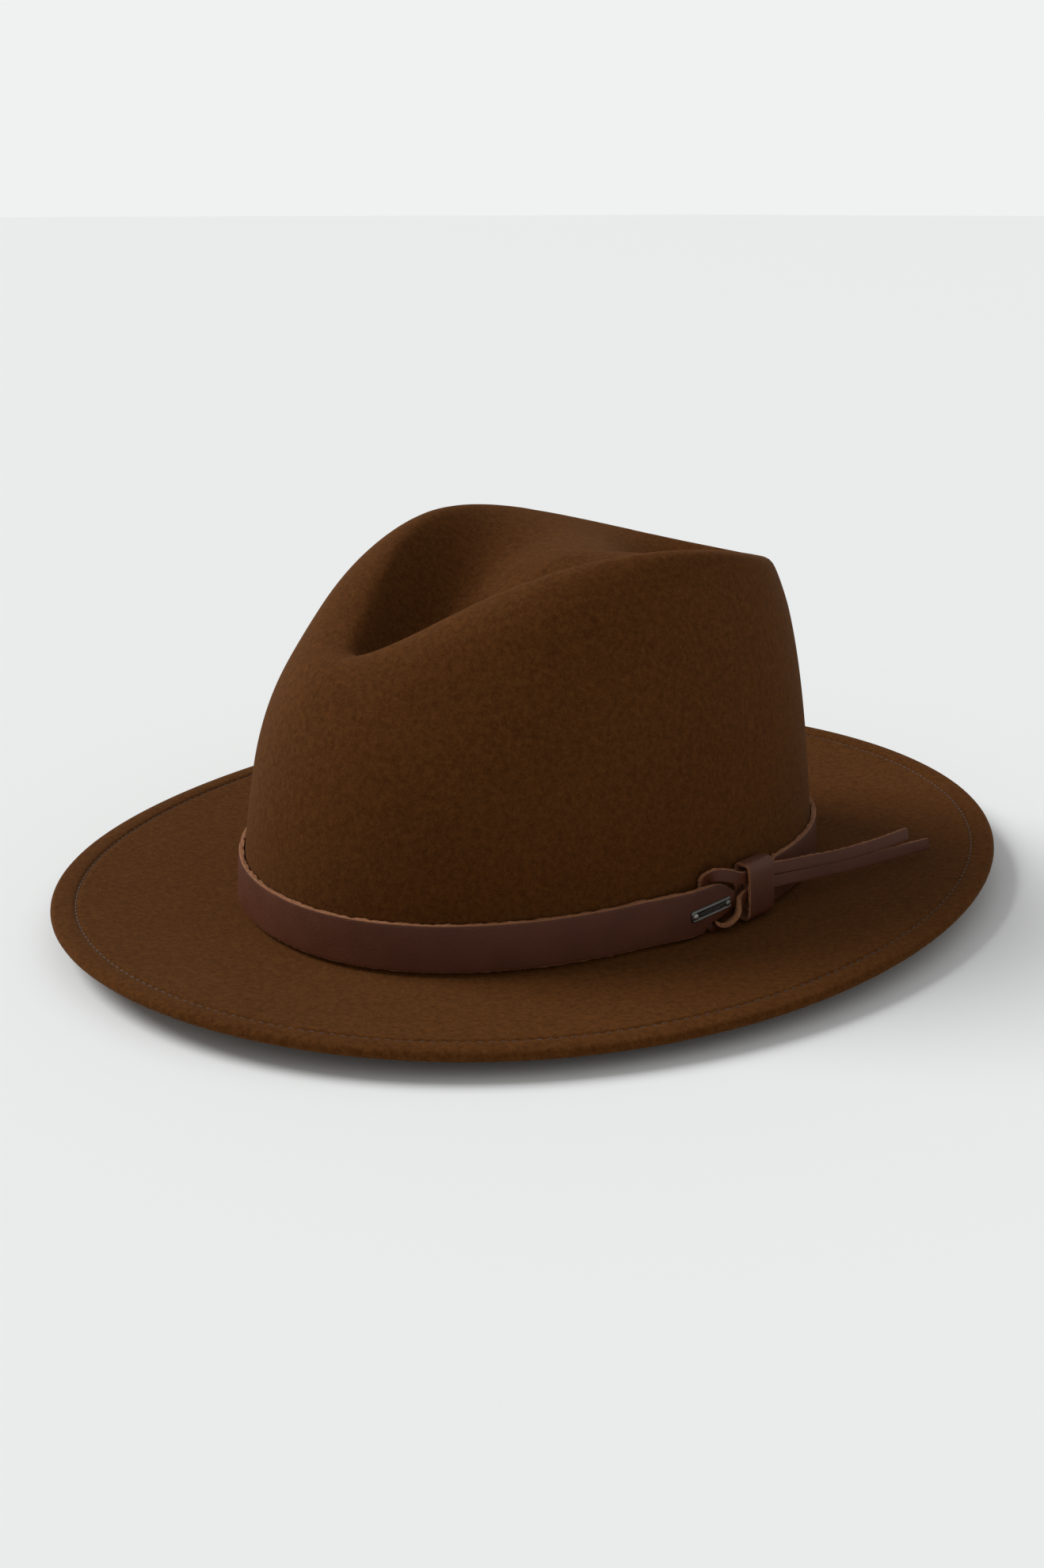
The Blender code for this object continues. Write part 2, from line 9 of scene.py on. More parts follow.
import bmesh
import bpy
import numpy as np
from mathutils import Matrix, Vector


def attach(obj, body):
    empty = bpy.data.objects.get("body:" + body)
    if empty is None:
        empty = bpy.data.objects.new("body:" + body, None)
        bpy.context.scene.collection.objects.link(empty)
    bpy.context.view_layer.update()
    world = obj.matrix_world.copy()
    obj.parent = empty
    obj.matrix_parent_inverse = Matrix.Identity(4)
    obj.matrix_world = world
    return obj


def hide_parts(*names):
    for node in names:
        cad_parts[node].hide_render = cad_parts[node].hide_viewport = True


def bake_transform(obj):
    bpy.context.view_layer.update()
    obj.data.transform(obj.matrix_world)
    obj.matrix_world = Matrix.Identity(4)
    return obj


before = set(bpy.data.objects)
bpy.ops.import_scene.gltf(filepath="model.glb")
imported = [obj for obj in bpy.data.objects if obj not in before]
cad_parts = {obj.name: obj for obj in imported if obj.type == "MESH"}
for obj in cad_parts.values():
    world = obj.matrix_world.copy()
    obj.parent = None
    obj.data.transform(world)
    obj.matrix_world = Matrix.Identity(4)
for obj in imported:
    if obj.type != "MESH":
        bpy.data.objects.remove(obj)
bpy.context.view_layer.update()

# ---- the hat block: the same sizes as the solids -------------
BRIM_HALF_WIDTH = 0.1445
BRIM_HALF_LENGTH = 0.1736
BRIM_EGG = 0.008
BRIM_EDGE_HEIGHT = 0.0113
BRIM_EDGE_SWAY = (-0.0018, 0.0013, 0.0012)
BRIM_RISE = 1.4
WELT_WIDTH = 0.0080
WELT_UNDER = 0.0092
WELT_EXTRA = 0.0009
WELT_ROLL = 0.0007
GROOVE_DEPTH = 0.0006
GROOVE_WIDTH = 0.0007

FELT = 0.0024
FOOT_HALF_WIDTH = 0.0854
FOOT_HALF_LENGTH = 0.1057
FOOT_BACK = -0.0036
FOOT_FULLNESS = 0.947
FOOT_HEIGHT = 0.0034
FOOT_SWAY = -0.0016

RIDGE_HALF_WIDTH = 0.0480
RIDGE_TAPER = (-0.259, -0.161)
RIDGE_HALF_LENGTH = 0.0793
RIDGE_BACK = 0.0095
RIDGE_HEIGHT = 0.1092
RIDGE_SWAY = (-0.0037, -0.0121, -0.0031)
LIP_REACH = 0.0080             # the front of the ridge comes forward to a point
LIP_SPREAD = 0.07
WALL_POWER = (1.67, 0.66, 0.02)
WALL_POWER_LEAST = 1.5
WALL_TAPER = 0.139
PINCH_LEFT = 0.0024            # depth of the hollows pressed in at the front of the crown
PINCH_RIGHT = 0.0010
PINCH_TURN = math.radians(42)
PINCH_SPREAD = math.radians(15)
PINCH_HEIGHT = 0.088
PINCH_REACH = 0.015
SPINE_HALF_LENGTH = 0.0510     # bottom line of the dent
SPINE_BACK = -0.0060
SPINE_HEIGHT = 0.0955
SPINE_SWAY = (-0.0105, -0.0090, 0.0060)
DENT_FLOOR_START = 0.64        # share of the way in at which the dent's floor begins
CROWN_SOFTNESS = 0.008         # width of the rounding along the crown's profile

GAP = 0.0003
STRAP = 0.0018
STRAP_WIDTH = 0.0150
STRAP_LIFT = 0.0013
KNOT_TURN = math.radians(99.3)
KEEPER = 0.0012
KEEPER_HALF_WIDTH = 0.0062
LACE = 0.0016
LACE_WIDTH = 0.0040
TAIL_GAP = 0.0008
TAIL_SPLAY = math.radians(15)
TAIL_LEAN = math.radians(12)
UPPER_TAIL = 0.0620
LOWER_TAIL = 0.0720
BADGE_LENGTH = 0.0170
BADGE_HEIGHT = 0.0036
BADGE = 0.0008
BADGE_TURN = math.radians(89.2)
BADGE_TILT = math.radians(4.6)
SWEATBAND = 0.0010
SWEATBAND_WIDTH = 0.0320
REED_RADIUS = 0.0011
LINING = 0.0005

# ---- camera and light: turns go as the camera's, heights in degrees above the floor
CAMERA_TURN = 51.087
CAMERA_RISE = 19.007
CAMERA_DISTANCE = 0.60
CAMERA_AIM = (-0.01327, 0.00115, 0.02670)
CAMERA_LENS = 38.437
BACKDROP_SHADE = (0.871, 0.888, 0.880)
FLOOR_SHADE = (0.86, 0.877, 0.869)
DOME_STRENGTH = 0.45
# name, turn, height, strength, softness in degrees
SOFT_LIGHTS = (("key_light", -62, 42, 2.4, 30),)

TURN_COUNT = 240
TURNS = np.arange(TURN_COUNT) * math.tau / TURN_COUNT
UP = np.array([0.0, 0.0, 1.0])
rng = np.random.default_rng(7)


def waves(turn, parts):
    """Sum of cos 1t, cos 2t, ... with the given sizes."""
    return sum(size * np.cos((order + 1) * turn) for order, size in enumerate(parts))


def full_oval(turn, half_width, half_length, power):
    """Oval that starts at the front; a power under 1 fills its corners."""
    across = half_width * np.sign(np.sin(turn)) * np.abs(np.sin(turn)) ** power
    along = -half_length * np.sign(np.cos(turn)) * np.abs(np.cos(turn)) ** power
    return across, along


def foot(turn):
    """Outer face of the felt where the crown meets the brim."""
    across, along = full_oval(turn, FOOT_HALF_WIDTH, FOOT_HALF_LENGTH, FOOT_FULLNESS)
    return np.stack([across, FOOT_BACK + along, FOOT_HEIGHT + FOOT_SWAY * np.cos(2 * turn)], -1)


def ridge(turn):
    """Top line of the crown round the dent."""
    across = RIDGE_HALF_WIDTH * np.sin(turn) * (1 + waves(turn, RIDGE_TAPER))
    lip = LIP_REACH * np.exp((np.cos(turn) - 1) / LIP_SPREAD)
    along = RIDGE_BACK - RIDGE_HALF_LENGTH * np.cos(turn) - lip
    return np.stack([across, along, RIDGE_HEIGHT + waves(turn, RIDGE_SWAY)], -1)


def brim_edge(turn):
    """Upper outline of the brim."""
    across = BRIM_HALF_WIDTH * np.sin(turn) * (1 + BRIM_EGG * np.cos(turn))
    along = -BRIM_HALF_LENGTH * np.cos(turn)
    return np.stack([across, along, BRIM_EDGE_HEIGHT + waves(turn, BRIM_EDGE_SWAY)], -1)


def spine(turn):
    """Bottom line of the dent, on the hat's middle plane."""
    along = SPINE_BACK - SPINE_HALF_LENGTH * np.cos(turn)
    return np.stack([0 * turn, along, SPINE_HEIGHT + waves(turn, SPINE_SWAY)], -1)


def lengths(points):
    """Distance of each point along a line from its start."""
    steps = np.linalg.norm(np.diff(points, axis=0), axis=1)
    return np.concatenate([[0], np.cumsum(steps)])


def along_line(points, places):
    """Points of a line at the given distances from its start."""
    reach = lengths(points)
    return np.stack([np.interp(places, reach, points[:, axis]) for axis in range(3)], -1)


def soften(points, width):
    """Running mean along a profile that keeps its two ends where they are."""
    total = lengths(points)[-1]
    places = np.linspace(0, total, 400)
    even = along_line(points, places)
    sums = np.concatenate([np.zeros((1, 3)), np.cumsum(even, axis=0)])
    reach = np.minimum(width / 2, np.minimum(places, total - places))
    count = (reach / places[1] + 1e-6).astype(int)
    index = np.arange(len(places))
    low, high = index - count, index + count + 1
    return (sums[high] - sums[low]) / (high - low)[:, None]


def pinch(turn, climb, height):
    """Depth of the hollow pressed into the crown's wall by hand."""
    side = math.acos(math.cos(turn))
    deepest = PINCH_LEFT if math.sin(turn) > 0 else PINCH_RIGHT
    spread = math.exp(-((side - PINCH_TURN) / PINCH_SPREAD) ** 2)
    reach = np.exp(-((height - PINCH_HEIGHT) / PINCH_REACH) ** 2)
    return deepest * spread * reach * (1 - climb ** 12)


@lru_cache(maxsize=None)
def crown_profile(turn):
    """Crown from its foot over the ridge to the dent's spine, with the ridge rounded."""
    low, high, floor = foot(turn), ridge(turn), spine(turn)
    power = max(WALL_POWER[0] + waves(turn, WALL_POWER[1:]), WALL_POWER_LEAST)
    climb = np.sin(np.linspace(0, math.pi / 2, 90))[:, None] ** (2 / power)
    bulge = 1 - (1 - climb ** power) ** (1 / power)
    lean = WALL_TAPER * climb + (1 - WALL_TAPER) * bulge
    wall = np.concatenate([low[:2] + (high[:2] - low[:2]) * lean,
                           low[2] + (high[2] - low[2]) * climb], 1)
    wall -= pinch(turn, climb, wall[:, 2:]) * outward(turn)
    inward = np.linspace(0, 1, 60)[1:, None]
    fall = np.minimum(inward / DENT_FLOOR_START, 1)
    dent = high + (floor - high) * np.concatenate(
        [inward, inward, fall ** 1.5 * (2.5 - 1.5 * fall)], 1)
    return soften(np.concatenate([wall, dent]), CROWN_SOFTNESS)


def outward(turn):
    """Level direction straight out of the crown's foot."""
    step = 0.001
    ahead = foot(turn + step) - foot(turn - step)
    side = np.array([ahead[1], -ahead[0], 0.0])
    return side / np.linalg.norm(side)


def past(turn, run):
    """Turn reached by going a distance round the crown's foot from another turn."""
    step = 0.05
    pace = np.linalg.norm(foot(turn + step) - foot(turn - step)) / (2 * step)
    return turn + run / pace


def crown_wall(turn, height):
    """Outer face of the crown at a height above its foot."""
    line = crown_profile(turn)
    top = int(np.argmax(line[:, 2]))
    level = line[0, 2] + height
    return np.array([np.interp(level, line[:top, 2], line[:top, axis]) for axis in (0, 1)]
                    + [level])


def by_band(turn, out, height):
    """Point by the band: turn, distance out of the felt, height above its lower edge."""
    return crown_wall(turn, STRAP_LIFT + height) + out * outward(turn)


def brim_top(turn, inset):
    """Top of the brim at a distance in from its outline, with its sewn groove."""
    start, edge = foot(turn), brim_edge(turn)
    width = np.linalg.norm((edge - start)[:2])
    share = 1 - inset / width
    point = start + (edge - start) * share
    point[2] = start[2] + (edge[2] - start[2]) * max(share, 0) ** BRIM_RISE
    beyond = max(0.0, 1 - inset / WELT_WIDTH)
    point[2] -= WELT_ROLL * beyond ** 2
    point[2] += 0.00025 * math.sin(math.pi * beyond) ** 2
    point[2] -= GROOVE_DEPTH * math.exp(-((inset - WELT_WIDTH) / GROOVE_WIDTH) ** 2)
    return point


# ---- making meshes -------------------------------------------
def loft(rings, ends):
    """Extrude the first ring through all the others, then cap, merge or join the ends."""
    bm = bmesh.new()
    place = bm.verts.layers.int.new("place")
    bmesh.ops.create_circle(bm, segments=len(rings[0]), radius=1)
    for index, vert in enumerate(bm.verts):
        vert[place] = index
        vert.co = rings[0][index]
    first = last = bm.edges[:]
    for ring in rings[1:]:
        grown = bmesh.ops.extrude_edge_only(bm, edges=last)["geom"]
        last = [item for item in grown if isinstance(item, bmesh.types.BMEdge)]
        for vert in (item for item in grown if isinstance(item, bmesh.types.BMVert)):
            vert.co = ring[vert[place]]
    if ends == "join":
        bmesh.ops.bridge_loops(bm, edges=first + last)
    if ends == "cap":
        bmesh.ops.contextual_create(bm, geom=first)
        bmesh.ops.contextual_create(bm, geom=last)
    if ends == "merge":
        bmesh.ops.remove_doubles(bm, verts=bm.verts, dist=1e-6)
    bmesh.ops.recalc_face_normals(bm, faces=bm.faces)
    if bm.calc_volume(signed=True) < 0:
        bmesh.ops.reverse_faces(bm, faces=bm.faces)
    return bm


def gather(parts):
    """Put several finished meshes in one."""
    bm = bmesh.new()
    for part in parts:
        mesh = bpy.data.meshes.new("part")
        part.to_mesh(mesh)
        part.free()
        bm.from_mesh(mesh)
        bpy.data.meshes.remove(mesh)
    return bm


def ring_at(centre, first, second, radius, sides):
    """Round ring of points in the plane of two directions."""
    return [centre + radius * (math.cos(angle) * first + math.sin(angle) * second)
            for angle in np.arange(sides) * math.tau / sides]


def add_piece(name, bm, material, body, stands_for=(), sharp=40):
    """Turn a finished mesh into a piece that rides on a body."""
    mesh = bpy.data.meshes.new(name)
    bm.to_mesh(mesh)
    bm.free()
    mesh.materials.append(material)
    mesh.shade_smooth()
    mesh.set_sharp_from_angle(angle=math.radians(sharp))
    piece = bpy.data.objects.new(name, mesh)
    bpy.context.scene.collection.objects.link(piece)
    if stands_for:
        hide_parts(*stands_for)
    if body:
        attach(piece, body)
    return piece


def smooth_route(points, count):
    """Curve through given points, as a Catmull-Rom line with even counts."""
    points = np.array(points, float)
    padded = np.concatenate([[2 * points[0] - points[1]], points,
                             [2 * points[-1] - points[-2]]])
    route = []
    for place in np.linspace(0, len(points) - 1, count):
        index = min(int(place), len(points) - 2)
        part = place - index
        before, start, end, after = padded[index:index + 4]
        route.append(0.5 * (2 * start + (end - before) * part
                            + (2 * before - 5 * start + 4 * end - after) * part ** 2
                            + (3 * start - before - 3 * end + after) * part ** 3))
    return np.array(route)


# ---- material recipes ----------------------------------------
class Recipe:
    """Node tree of one material or group, with short ways to add and join nodes."""

    def __init__(self, tree):
        self.tree = tree

    def node(self, kind, **settings):
        made = self.tree.nodes.new(kind)
        for key, value in settings.items():
            setattr(made, key, value)
        return made

    def join(self, output, socket):
        self.tree.links.new(output, socket)

    def noise(self, vector, scale, detail, roughness=0.5):
        made = self.node("ShaderNodeTexNoise")
        made.inputs["Scale"].default_value = scale
        made.inputs["Detail"].default_value = detail
        made.inputs["Roughness"].default_value = roughness
        self.join(vector, made.inputs["Vector"])
        return made.outputs["Fac"]

    def spread(self, value, low, high, to_low=0.0, to_high=1.0):
        made = self.node("ShaderNodeMapRange")
        for socket, number in zip(("From Min", "From Max", "To Min", "To Max"),
                                  (low, high, to_low, to_high)):
            made.inputs[socket].default_value = number
        self.join(value, made.inputs["Value"])
        return made.outputs["Result"]

    def sum(self, first, second, operation="ADD"):
        made = self.node("ShaderNodeMath", operation=operation)
        for socket, value in zip(made.inputs, (first, second)):
            if isinstance(value, (int, float)):
                socket.default_value = value
            else:
                self.join(value, socket)
        return made.outputs[0]

    def blend_colours(self, share, first, second):
        made = self.node("ShaderNodeMix", data_type="RGBA")
        self.join(share, made.inputs["Factor"])
        for socket, value in ((made.inputs["A"], first), (made.inputs["B"], second)):
            if isinstance(value, tuple):
                socket.default_value = (*value, 1.0)
            else:
                self.join(value, socket)
        return made.outputs["Result"]

    def bump(self, height, depth, strength=1.0):
        made = self.node("ShaderNodeBump")
        made.inputs["Strength"].default_value = strength
        made.inputs["Distance"].default_value = depth
        self.join(height, made.inputs["Height"])
        return made.outputs["Normal"]

    def object_place(self):
        return self.node("ShaderNodeTexCoord").outputs["Object"]

    def painted(self, name):
        made = self.node("ShaderNodeAttribute", attribute_name=name)
        return made.outputs["Fac"]


def new_material(name, roughness, **uniform):
    """Material with its shader; uniform values go on the shader's own sockets."""
    material = bpy.data.materials.new(name)
    material.use_nodes = True
    recipe = Recipe(material.node_tree)
    shader = material.node_tree.nodes["Principled BSDF"]
    shader.inputs["Roughness"].default_value = roughness
    for socket, value in uniform.items():
        shader.inputs[socket.replace("_", " ").title().replace("Ior", "IOR")].default_value = value
    return material, recipe, shader


def new_group(name, inputs, outputs):
    """Empty node group with the given (name, kind, value) inputs and (name, kind) outputs."""
    group = bpy.data.node_groups.new(name, "ShaderNodeTree")
    for label, kind, value in inputs:
        made = group.interface.new_socket(label, in_out="INPUT", socket_type=kind)
        made.default_value = value
    for label, kind in outputs:
        group.interface.new_socket(label, in_out="OUTPUT", socket_type=kind)
    recipe = Recipe(group)
    return group, recipe, recipe.node("NodeGroupInput"), recipe.node("NodeGroupOutput")


def place_group(recipe, group, **values):
    """Put a group in a material and set its inputs."""
    made = recipe.node("ShaderNodeGroup", node_tree=group)
    for label, value in values.items():
        socket = made.inputs[label.replace("_", " ").capitalize()]
        if hasattr(value, "is_linked"):
            recipe.join(value, socket)
        else:
            socket.default_value = value
    return made.outputs


def nap_group():
    """Short matted wool fibres: a fine fleck, a soft mottle and a height."""
    group, recipe, given, out = new_group(
        "wool_nap",
        [("Size", "NodeSocketFloat", 1.0)],
        [("Fleck", "NodeSocketFloat"), ("Mottle", "NodeSocketFloat"),
         ("Height", "NodeSocketFloat")])
    place = recipe.object_place()
    scaled = recipe.node("ShaderNodeVectorMath", operation="SCALE")
    recipe.join(place, scaled.inputs[0])
    recipe.join(given.outputs["Size"], scaled.inputs["Scale"])
    spot = scaled.outputs["Vector"]
    fine = recipe.noise(spot, 1500, 3, 0.65)
    coarse = recipe.noise(spot, 520, 2, 0.6)
    fibres = recipe.sum(fine, coarse)
    recipe.join(recipe.spread(fibres, 0.72, 1.28), out.inputs["Fleck"])
    recipe.join(recipe.spread(recipe.noise(spot, 24, 3, 0.5), 0.3, 0.7), out.inputs["Mottle"])
    recipe.join(fibres, out.inputs["Height"])
    return group


def hide_group():
    """Leather: broad tone, fine pores and creases, and a height."""
    group, recipe, given, out = new_group(
        "oiled_hide",
        [("Size", "NodeSocketFloat", 1.0)],
        [("Tone", "NodeSocketFloat"), ("Pores", "NodeSocketFloat"), ("Height", "NodeSocketFloat")])
    place = recipe.object_place()
    scaled = recipe.node("ShaderNodeVectorMath", operation="SCALE")
    recipe.join(place, scaled.inputs[0])
    recipe.join(given.outputs["Size"], scaled.inputs["Scale"])
    spot = scaled.outputs["Vector"]
    recipe.join(recipe.spread(recipe.noise(spot, 60, 4, 0.6), 0.3, 0.7), out.inputs["Tone"])
    cells = recipe.node("ShaderNodeTexVoronoi", feature="DISTANCE_TO_EDGE")
    cells.inputs["Scale"].default_value = 1500
    recipe.join(spot, cells.inputs["Vector"])
    pores = recipe.spread(cells.outputs["Distance"], 0.0, 0.25)
    recipe.join(pores, out.inputs["Pores"])
    recipe.join(recipe.sum(pores, recipe.noise(spot, 900, 4, 0.6)), out.inputs["Height"])
    return group


def felt_material(nap):
    """Matt brown wool felt with a pale bloom where the nap is seen edge on."""
    material, recipe, shader = new_material(
        "felt_cloth", 0.95, sheen_weight=0.10, sheen_roughness=0.4, specular_ior_level=0.05)
    shader.inputs["Sheen Tint"].default_value = (0.80, 0.42, 0.18, 1.0)
    wool = place_group(recipe, nap, size=1.0)
    tone = recipe.blend_colours(wool["Mottle"], (0.072, 0.0235, 0.0046), (0.084, 0.0285, 0.0060))
    flecked = recipe.blend_colours(wool["Fleck"], (0.040, 0.0120, 0.0020), (0.122, 0.0450, 0.0110))
    mixed = recipe.node("ShaderNodeMix", data_type="RGBA")
    mixed.inputs["Factor"].default_value = 0.55
    recipe.join(tone, mixed.inputs["A"])
    recipe.join(flecked, mixed.inputs["B"])
    recipe.join(mixed.outputs["Result"], shader.inputs["Base Color"])
    recipe.join(recipe.bump(wool["Height"], 0.00022, 0.8), shader.inputs["Normal"])
    return material


def band_leather_material(hide):
    """Oiled red-brown leather; its cut edges and flesh side are raw tan."""
    material, recipe, shader = new_material("band_hide", 0.5, specular_ior_level=0.4)
    skin = place_group(recipe, hide, size=1.0)
    face = recipe.blend_colours(skin["Tone"], (0.082, 0.0210, 0.0068), (0.108, 0.0300, 0.0100))
    fibres = recipe.spread(recipe.noise(recipe.object_place(), 2600, 3, 0.7), 0.3, 0.7)
    raw = recipe.blend_colours(fibres, (0.150, 0.0480, 0.0150), (0.400, 0.1750, 0.0750))
    cut = recipe.spread(recipe.painted("raw"), 0.35, 0.65)
    recipe.join(recipe.blend_colours(cut, face, raw), shader.inputs["Base Color"])
    sheen = recipe.spread(skin["Tone"], 0.0, 1.0, 0.44, 0.56)
    dull = recipe.sum(sheen, recipe.sum(cut, 0.4, "MULTIPLY"))
    recipe.join(dull, shader.inputs["Roughness"])
    raised = recipe.sum(recipe.sum(cut, fibres, "MULTIPLY"), 3.0, "MULTIPLY")
    rough = recipe.sum(skin["Height"], raised)
    recipe.join(recipe.bump(rough, 0.00005, 0.7), shader.inputs["Normal"])
    return material


def plain_leather_material(name, hide, dark, light, size):
    """Soft leather of one tone, for the inside of the hat."""
    material, recipe, shader = new_material(name, 0.55, specular_ior_level=0.4)
    skin = place_group(recipe, hide, size=size)
    recipe.join(recipe.blend_colours(skin["Tone"], dark, light), shader.inputs["Base Color"])
    recipe.join(recipe.spread(skin["Pores"], 0.0, 1.0, 0.62, 0.5), shader.inputs["Roughness"])
    recipe.join(recipe.bump(skin["Height"], 0.00006, 0.8), shader.inputs["Normal"])
    return material


def thread_material(name, dark, light):
    """Twisted thread."""
    material, recipe, shader = new_material(name, 0.75, sheen_weight=0.3)
    place = recipe.object_place()
    twist = recipe.spread(recipe.noise(place, 2400, 2, 0.5), 0.35, 0.65)
    recipe.join(recipe.blend_colours(twist, dark, light), shader.inputs["Base Color"])
    recipe.join(recipe.bump(twist, 0.0001), shader.inputs["Normal"])
    return material


def gunmetal_material():
    """Dark plated metal, worn brighter on its raised edges, with a painted glint on the front
    rivet.
    """
    material, recipe, shader = new_material("badge_gunmetal", 0.35, metallic=1.0)
    place = recipe.object_place()
    # brightening from the pieces' attribute: wear on raised edges, and a painted glint on the front
    # rivet
    wear_and_glint = recipe.painted("raw")
    grain = recipe.spread(recipe.noise(place, 900, 4, 0.6), 0.3, 0.7)
    plate = recipe.blend_colours(grain, (0.060, 0.068, 0.066), (0.120, 0.130, 0.125))
    bright = recipe.blend_colours(wear_and_glint, plate, (0.42, 0.40, 0.36))
    recipe.join(bright, shader.inputs["Base Color"])
    recipe.join(recipe.spread(grain, 0.0, 1.0, 0.30, 0.46), shader.inputs["Roughness"])
    recipe.join(recipe.bump(grain, 0.00003), shader.inputs["Normal"])
    return material


def woven_material(name, dark, light, threads, roughness):
    """Satin or ribbon: fine threads both ways, read from the piece's own map."""
    material, recipe, shader = new_material(name, roughness, sheen_weight=0.25)
    place = recipe.node("ShaderNodeUVMap", uv_map="weave")
    parts = recipe.node("ShaderNodeSeparateXYZ")
    recipe.join(place.outputs["UV"], parts.inputs[0])
    lines = []
    for axis, count in zip(("X", "Y"), threads):
        turned = recipe.sum(parts.outputs[axis], count * math.tau, "MULTIPLY")
        lines.append(recipe.sum(turned, 0.0, "SINE"))
    cloth = recipe.spread(recipe.sum(lines[0], lines[1], "MULTIPLY"), -1.0, 1.0)
    slub = recipe.spread(recipe.noise(place.outputs["UV"], 900, 3, 0.6), 0.35, 0.65)
    shade = recipe.sum(recipe.sum(cloth, 0.5, "MULTIPLY"), recipe.sum(slub, 0.5, "MULTIPLY"))
    recipe.join(recipe.blend_colours(shade, dark, light), shader.inputs["Base Color"])
    recipe.join(recipe.bump(cloth, 0.00005), shader.inputs["Normal"])
    return material


# ---- felt body -----------------------------------------------
def crown_grid(wall_rings, dent_rings):
    """Crown's outer skin, ring by ring from its foot to the spine, and the ridge's ring."""
    sides = []
    for turn in TURNS:
        line = crown_profile(turn)
        top = int(np.argmax(line[:, 2]))
        wall, dent = line[:top + 1], line[top:]
        wall_run = lengths(wall)[-1] * np.linspace(0, 1, wall_rings + 1)[:-1]
        dent_run = lengths(dent)[-1] * np.linspace(0, 1, dent_rings + 1)
        sides.append(np.concatenate([along_line(wall, wall_run), along_line(dent, dent_run)]))
    points = np.array(sides).transpose(1, 0, 2)
    points[-1, :, 0] = 0
    return points


def inward_normals(points):
    """Unit normals of a ring grid, pointing into the hat."""
    down_line = np.gradient(points, axis=0)
    round_line = np.roll(points, -1, axis=1) - np.roll(points, 1, axis=1)
    round_line[-1] = round_line[-2]
    normals = np.cross(down_line, round_line)
    normals /= np.linalg.norm(normals, axis=-1, keepdims=True)
    mirror = np.roll(normals[-1][::-1], 1, axis=0) * [-1, 1, 1]
    normals[-1] += mirror
    normals[-1, :, 0] = 0
    normals[-1] /= np.linalg.norm(normals[-1], axis=-1, keepdims=True)
    return normals


def hand_blocking(points):
    """Slow dips and swells that steaming and shaping leave in the crown."""
    x, y, z = points[..., 0], points[..., 1], points[..., 2]
    swell = (np.sin(31 * y + 17 * z + 0.6) * np.sin(43 * z + 1.3)
             + 0.6 * np.sin(57 * x + 23 * z) * np.sin(37 * y + 2.1))
    from_band = np.clip((z - 0.022) / 0.03, 0, 1)
    from_top = np.clip((points[-1, 0, 2] + 0.03 - z) / 0.02, 0.25, 1)
    return 0.0006 * swell * from_band * from_top


# distances in from the brim's outline at which its rings lie, close together at the groove
TOP_INSETS = (0.0016, 0.0022, 0.0030, 0.0040, 0.0050, 0.0058, 0.0065, 0.0070, 0.0074, 0.0077,
              0.0080, 0.0083, 0.0086, 0.0090, 0.0096, 0.0106, 0.0120, 0.0140)
WELT_INSETS = (0.0025, 0.0040, 0.0055, 0.0070, 0.0082, WELT_UNDER - 0.0003)
UNDER_INSETS = (0.0096, 0.0110, 0.0140)
BRIM_SHARES = np.linspace(0.72, 0.055, 22)
FOLD_ROUNDNESS = 0.97
# the curve from brim to crown, outside and inside: run out of the foot, rise above it
FOOT_CURVE = ((0.0020, 0.0000), (0.0012, 0.0002), (0.0006, 0.0005), (0.0002, 0.0010))
INNER_CURVE = ((0.0010, -FELT), (-0.0008, -0.0023), (-0.0018, -0.0016), (-0.0023, -0.0006),
               (-FELT, 0.0006))
FOOT_TOP = 0.0018              # height at which the foot's curve joins the crown's wall


def brim_ring(inset):
    """Ring on the brim's top at a distance in from its outline."""
    return np.array([brim_top(turn, inset) for turn in TURNS])


def edge_fold(outline):
    """Rounded outer edge where the felt turns under."""
    direction = (brim_edge(TURNS) - foot(TURNS)) * [1, 1, 0]
    direction /= np.linalg.norm(direction, axis=1, keepdims=True)
    radius = (FELT + WELT_EXTRA) / 2
    centre = outline - UP * radius
    return [centre + direction * (radius * math.sin(angle) * FOLD_ROUNDNESS)
            + UP * radius * math.cos(angle) for angle in np.linspace(0, math.pi, 11)[1:]]


def brim_underside(flat_rings, away):
    """Turned-under layer, the step at its cut edge, and the brim's plain underside."""
    thick = FELT + WELT_EXTRA
    rings = []
    for inset in WELT_INSETS:
        groove = GROOVE_DEPTH * math.exp(-((inset - WELT_WIDTH) / GROOVE_WIDTH) ** 2)
        rings.append(brim_ring(inset) - UP * thick + UP * groove)
    step = brim_ring(WELT_UNDER)
    rings.append(step - UP * (thick - 0.0002))
    rings.append(step - UP * (FELT + 0.0001))
    rings += [brim_ring(inset) - UP * FELT for inset in UNDER_INSETS]
    rings += [ring - UP * FELT for ring in flat_rings]
    rings += [foot(TURNS) + away * run + UP * rise for run, rise in INNER_CURVE]
    return [np.concatenate([ring[:, :2], np.maximum(ring[:, 2:], 0.0)], 1) for ring in rings]


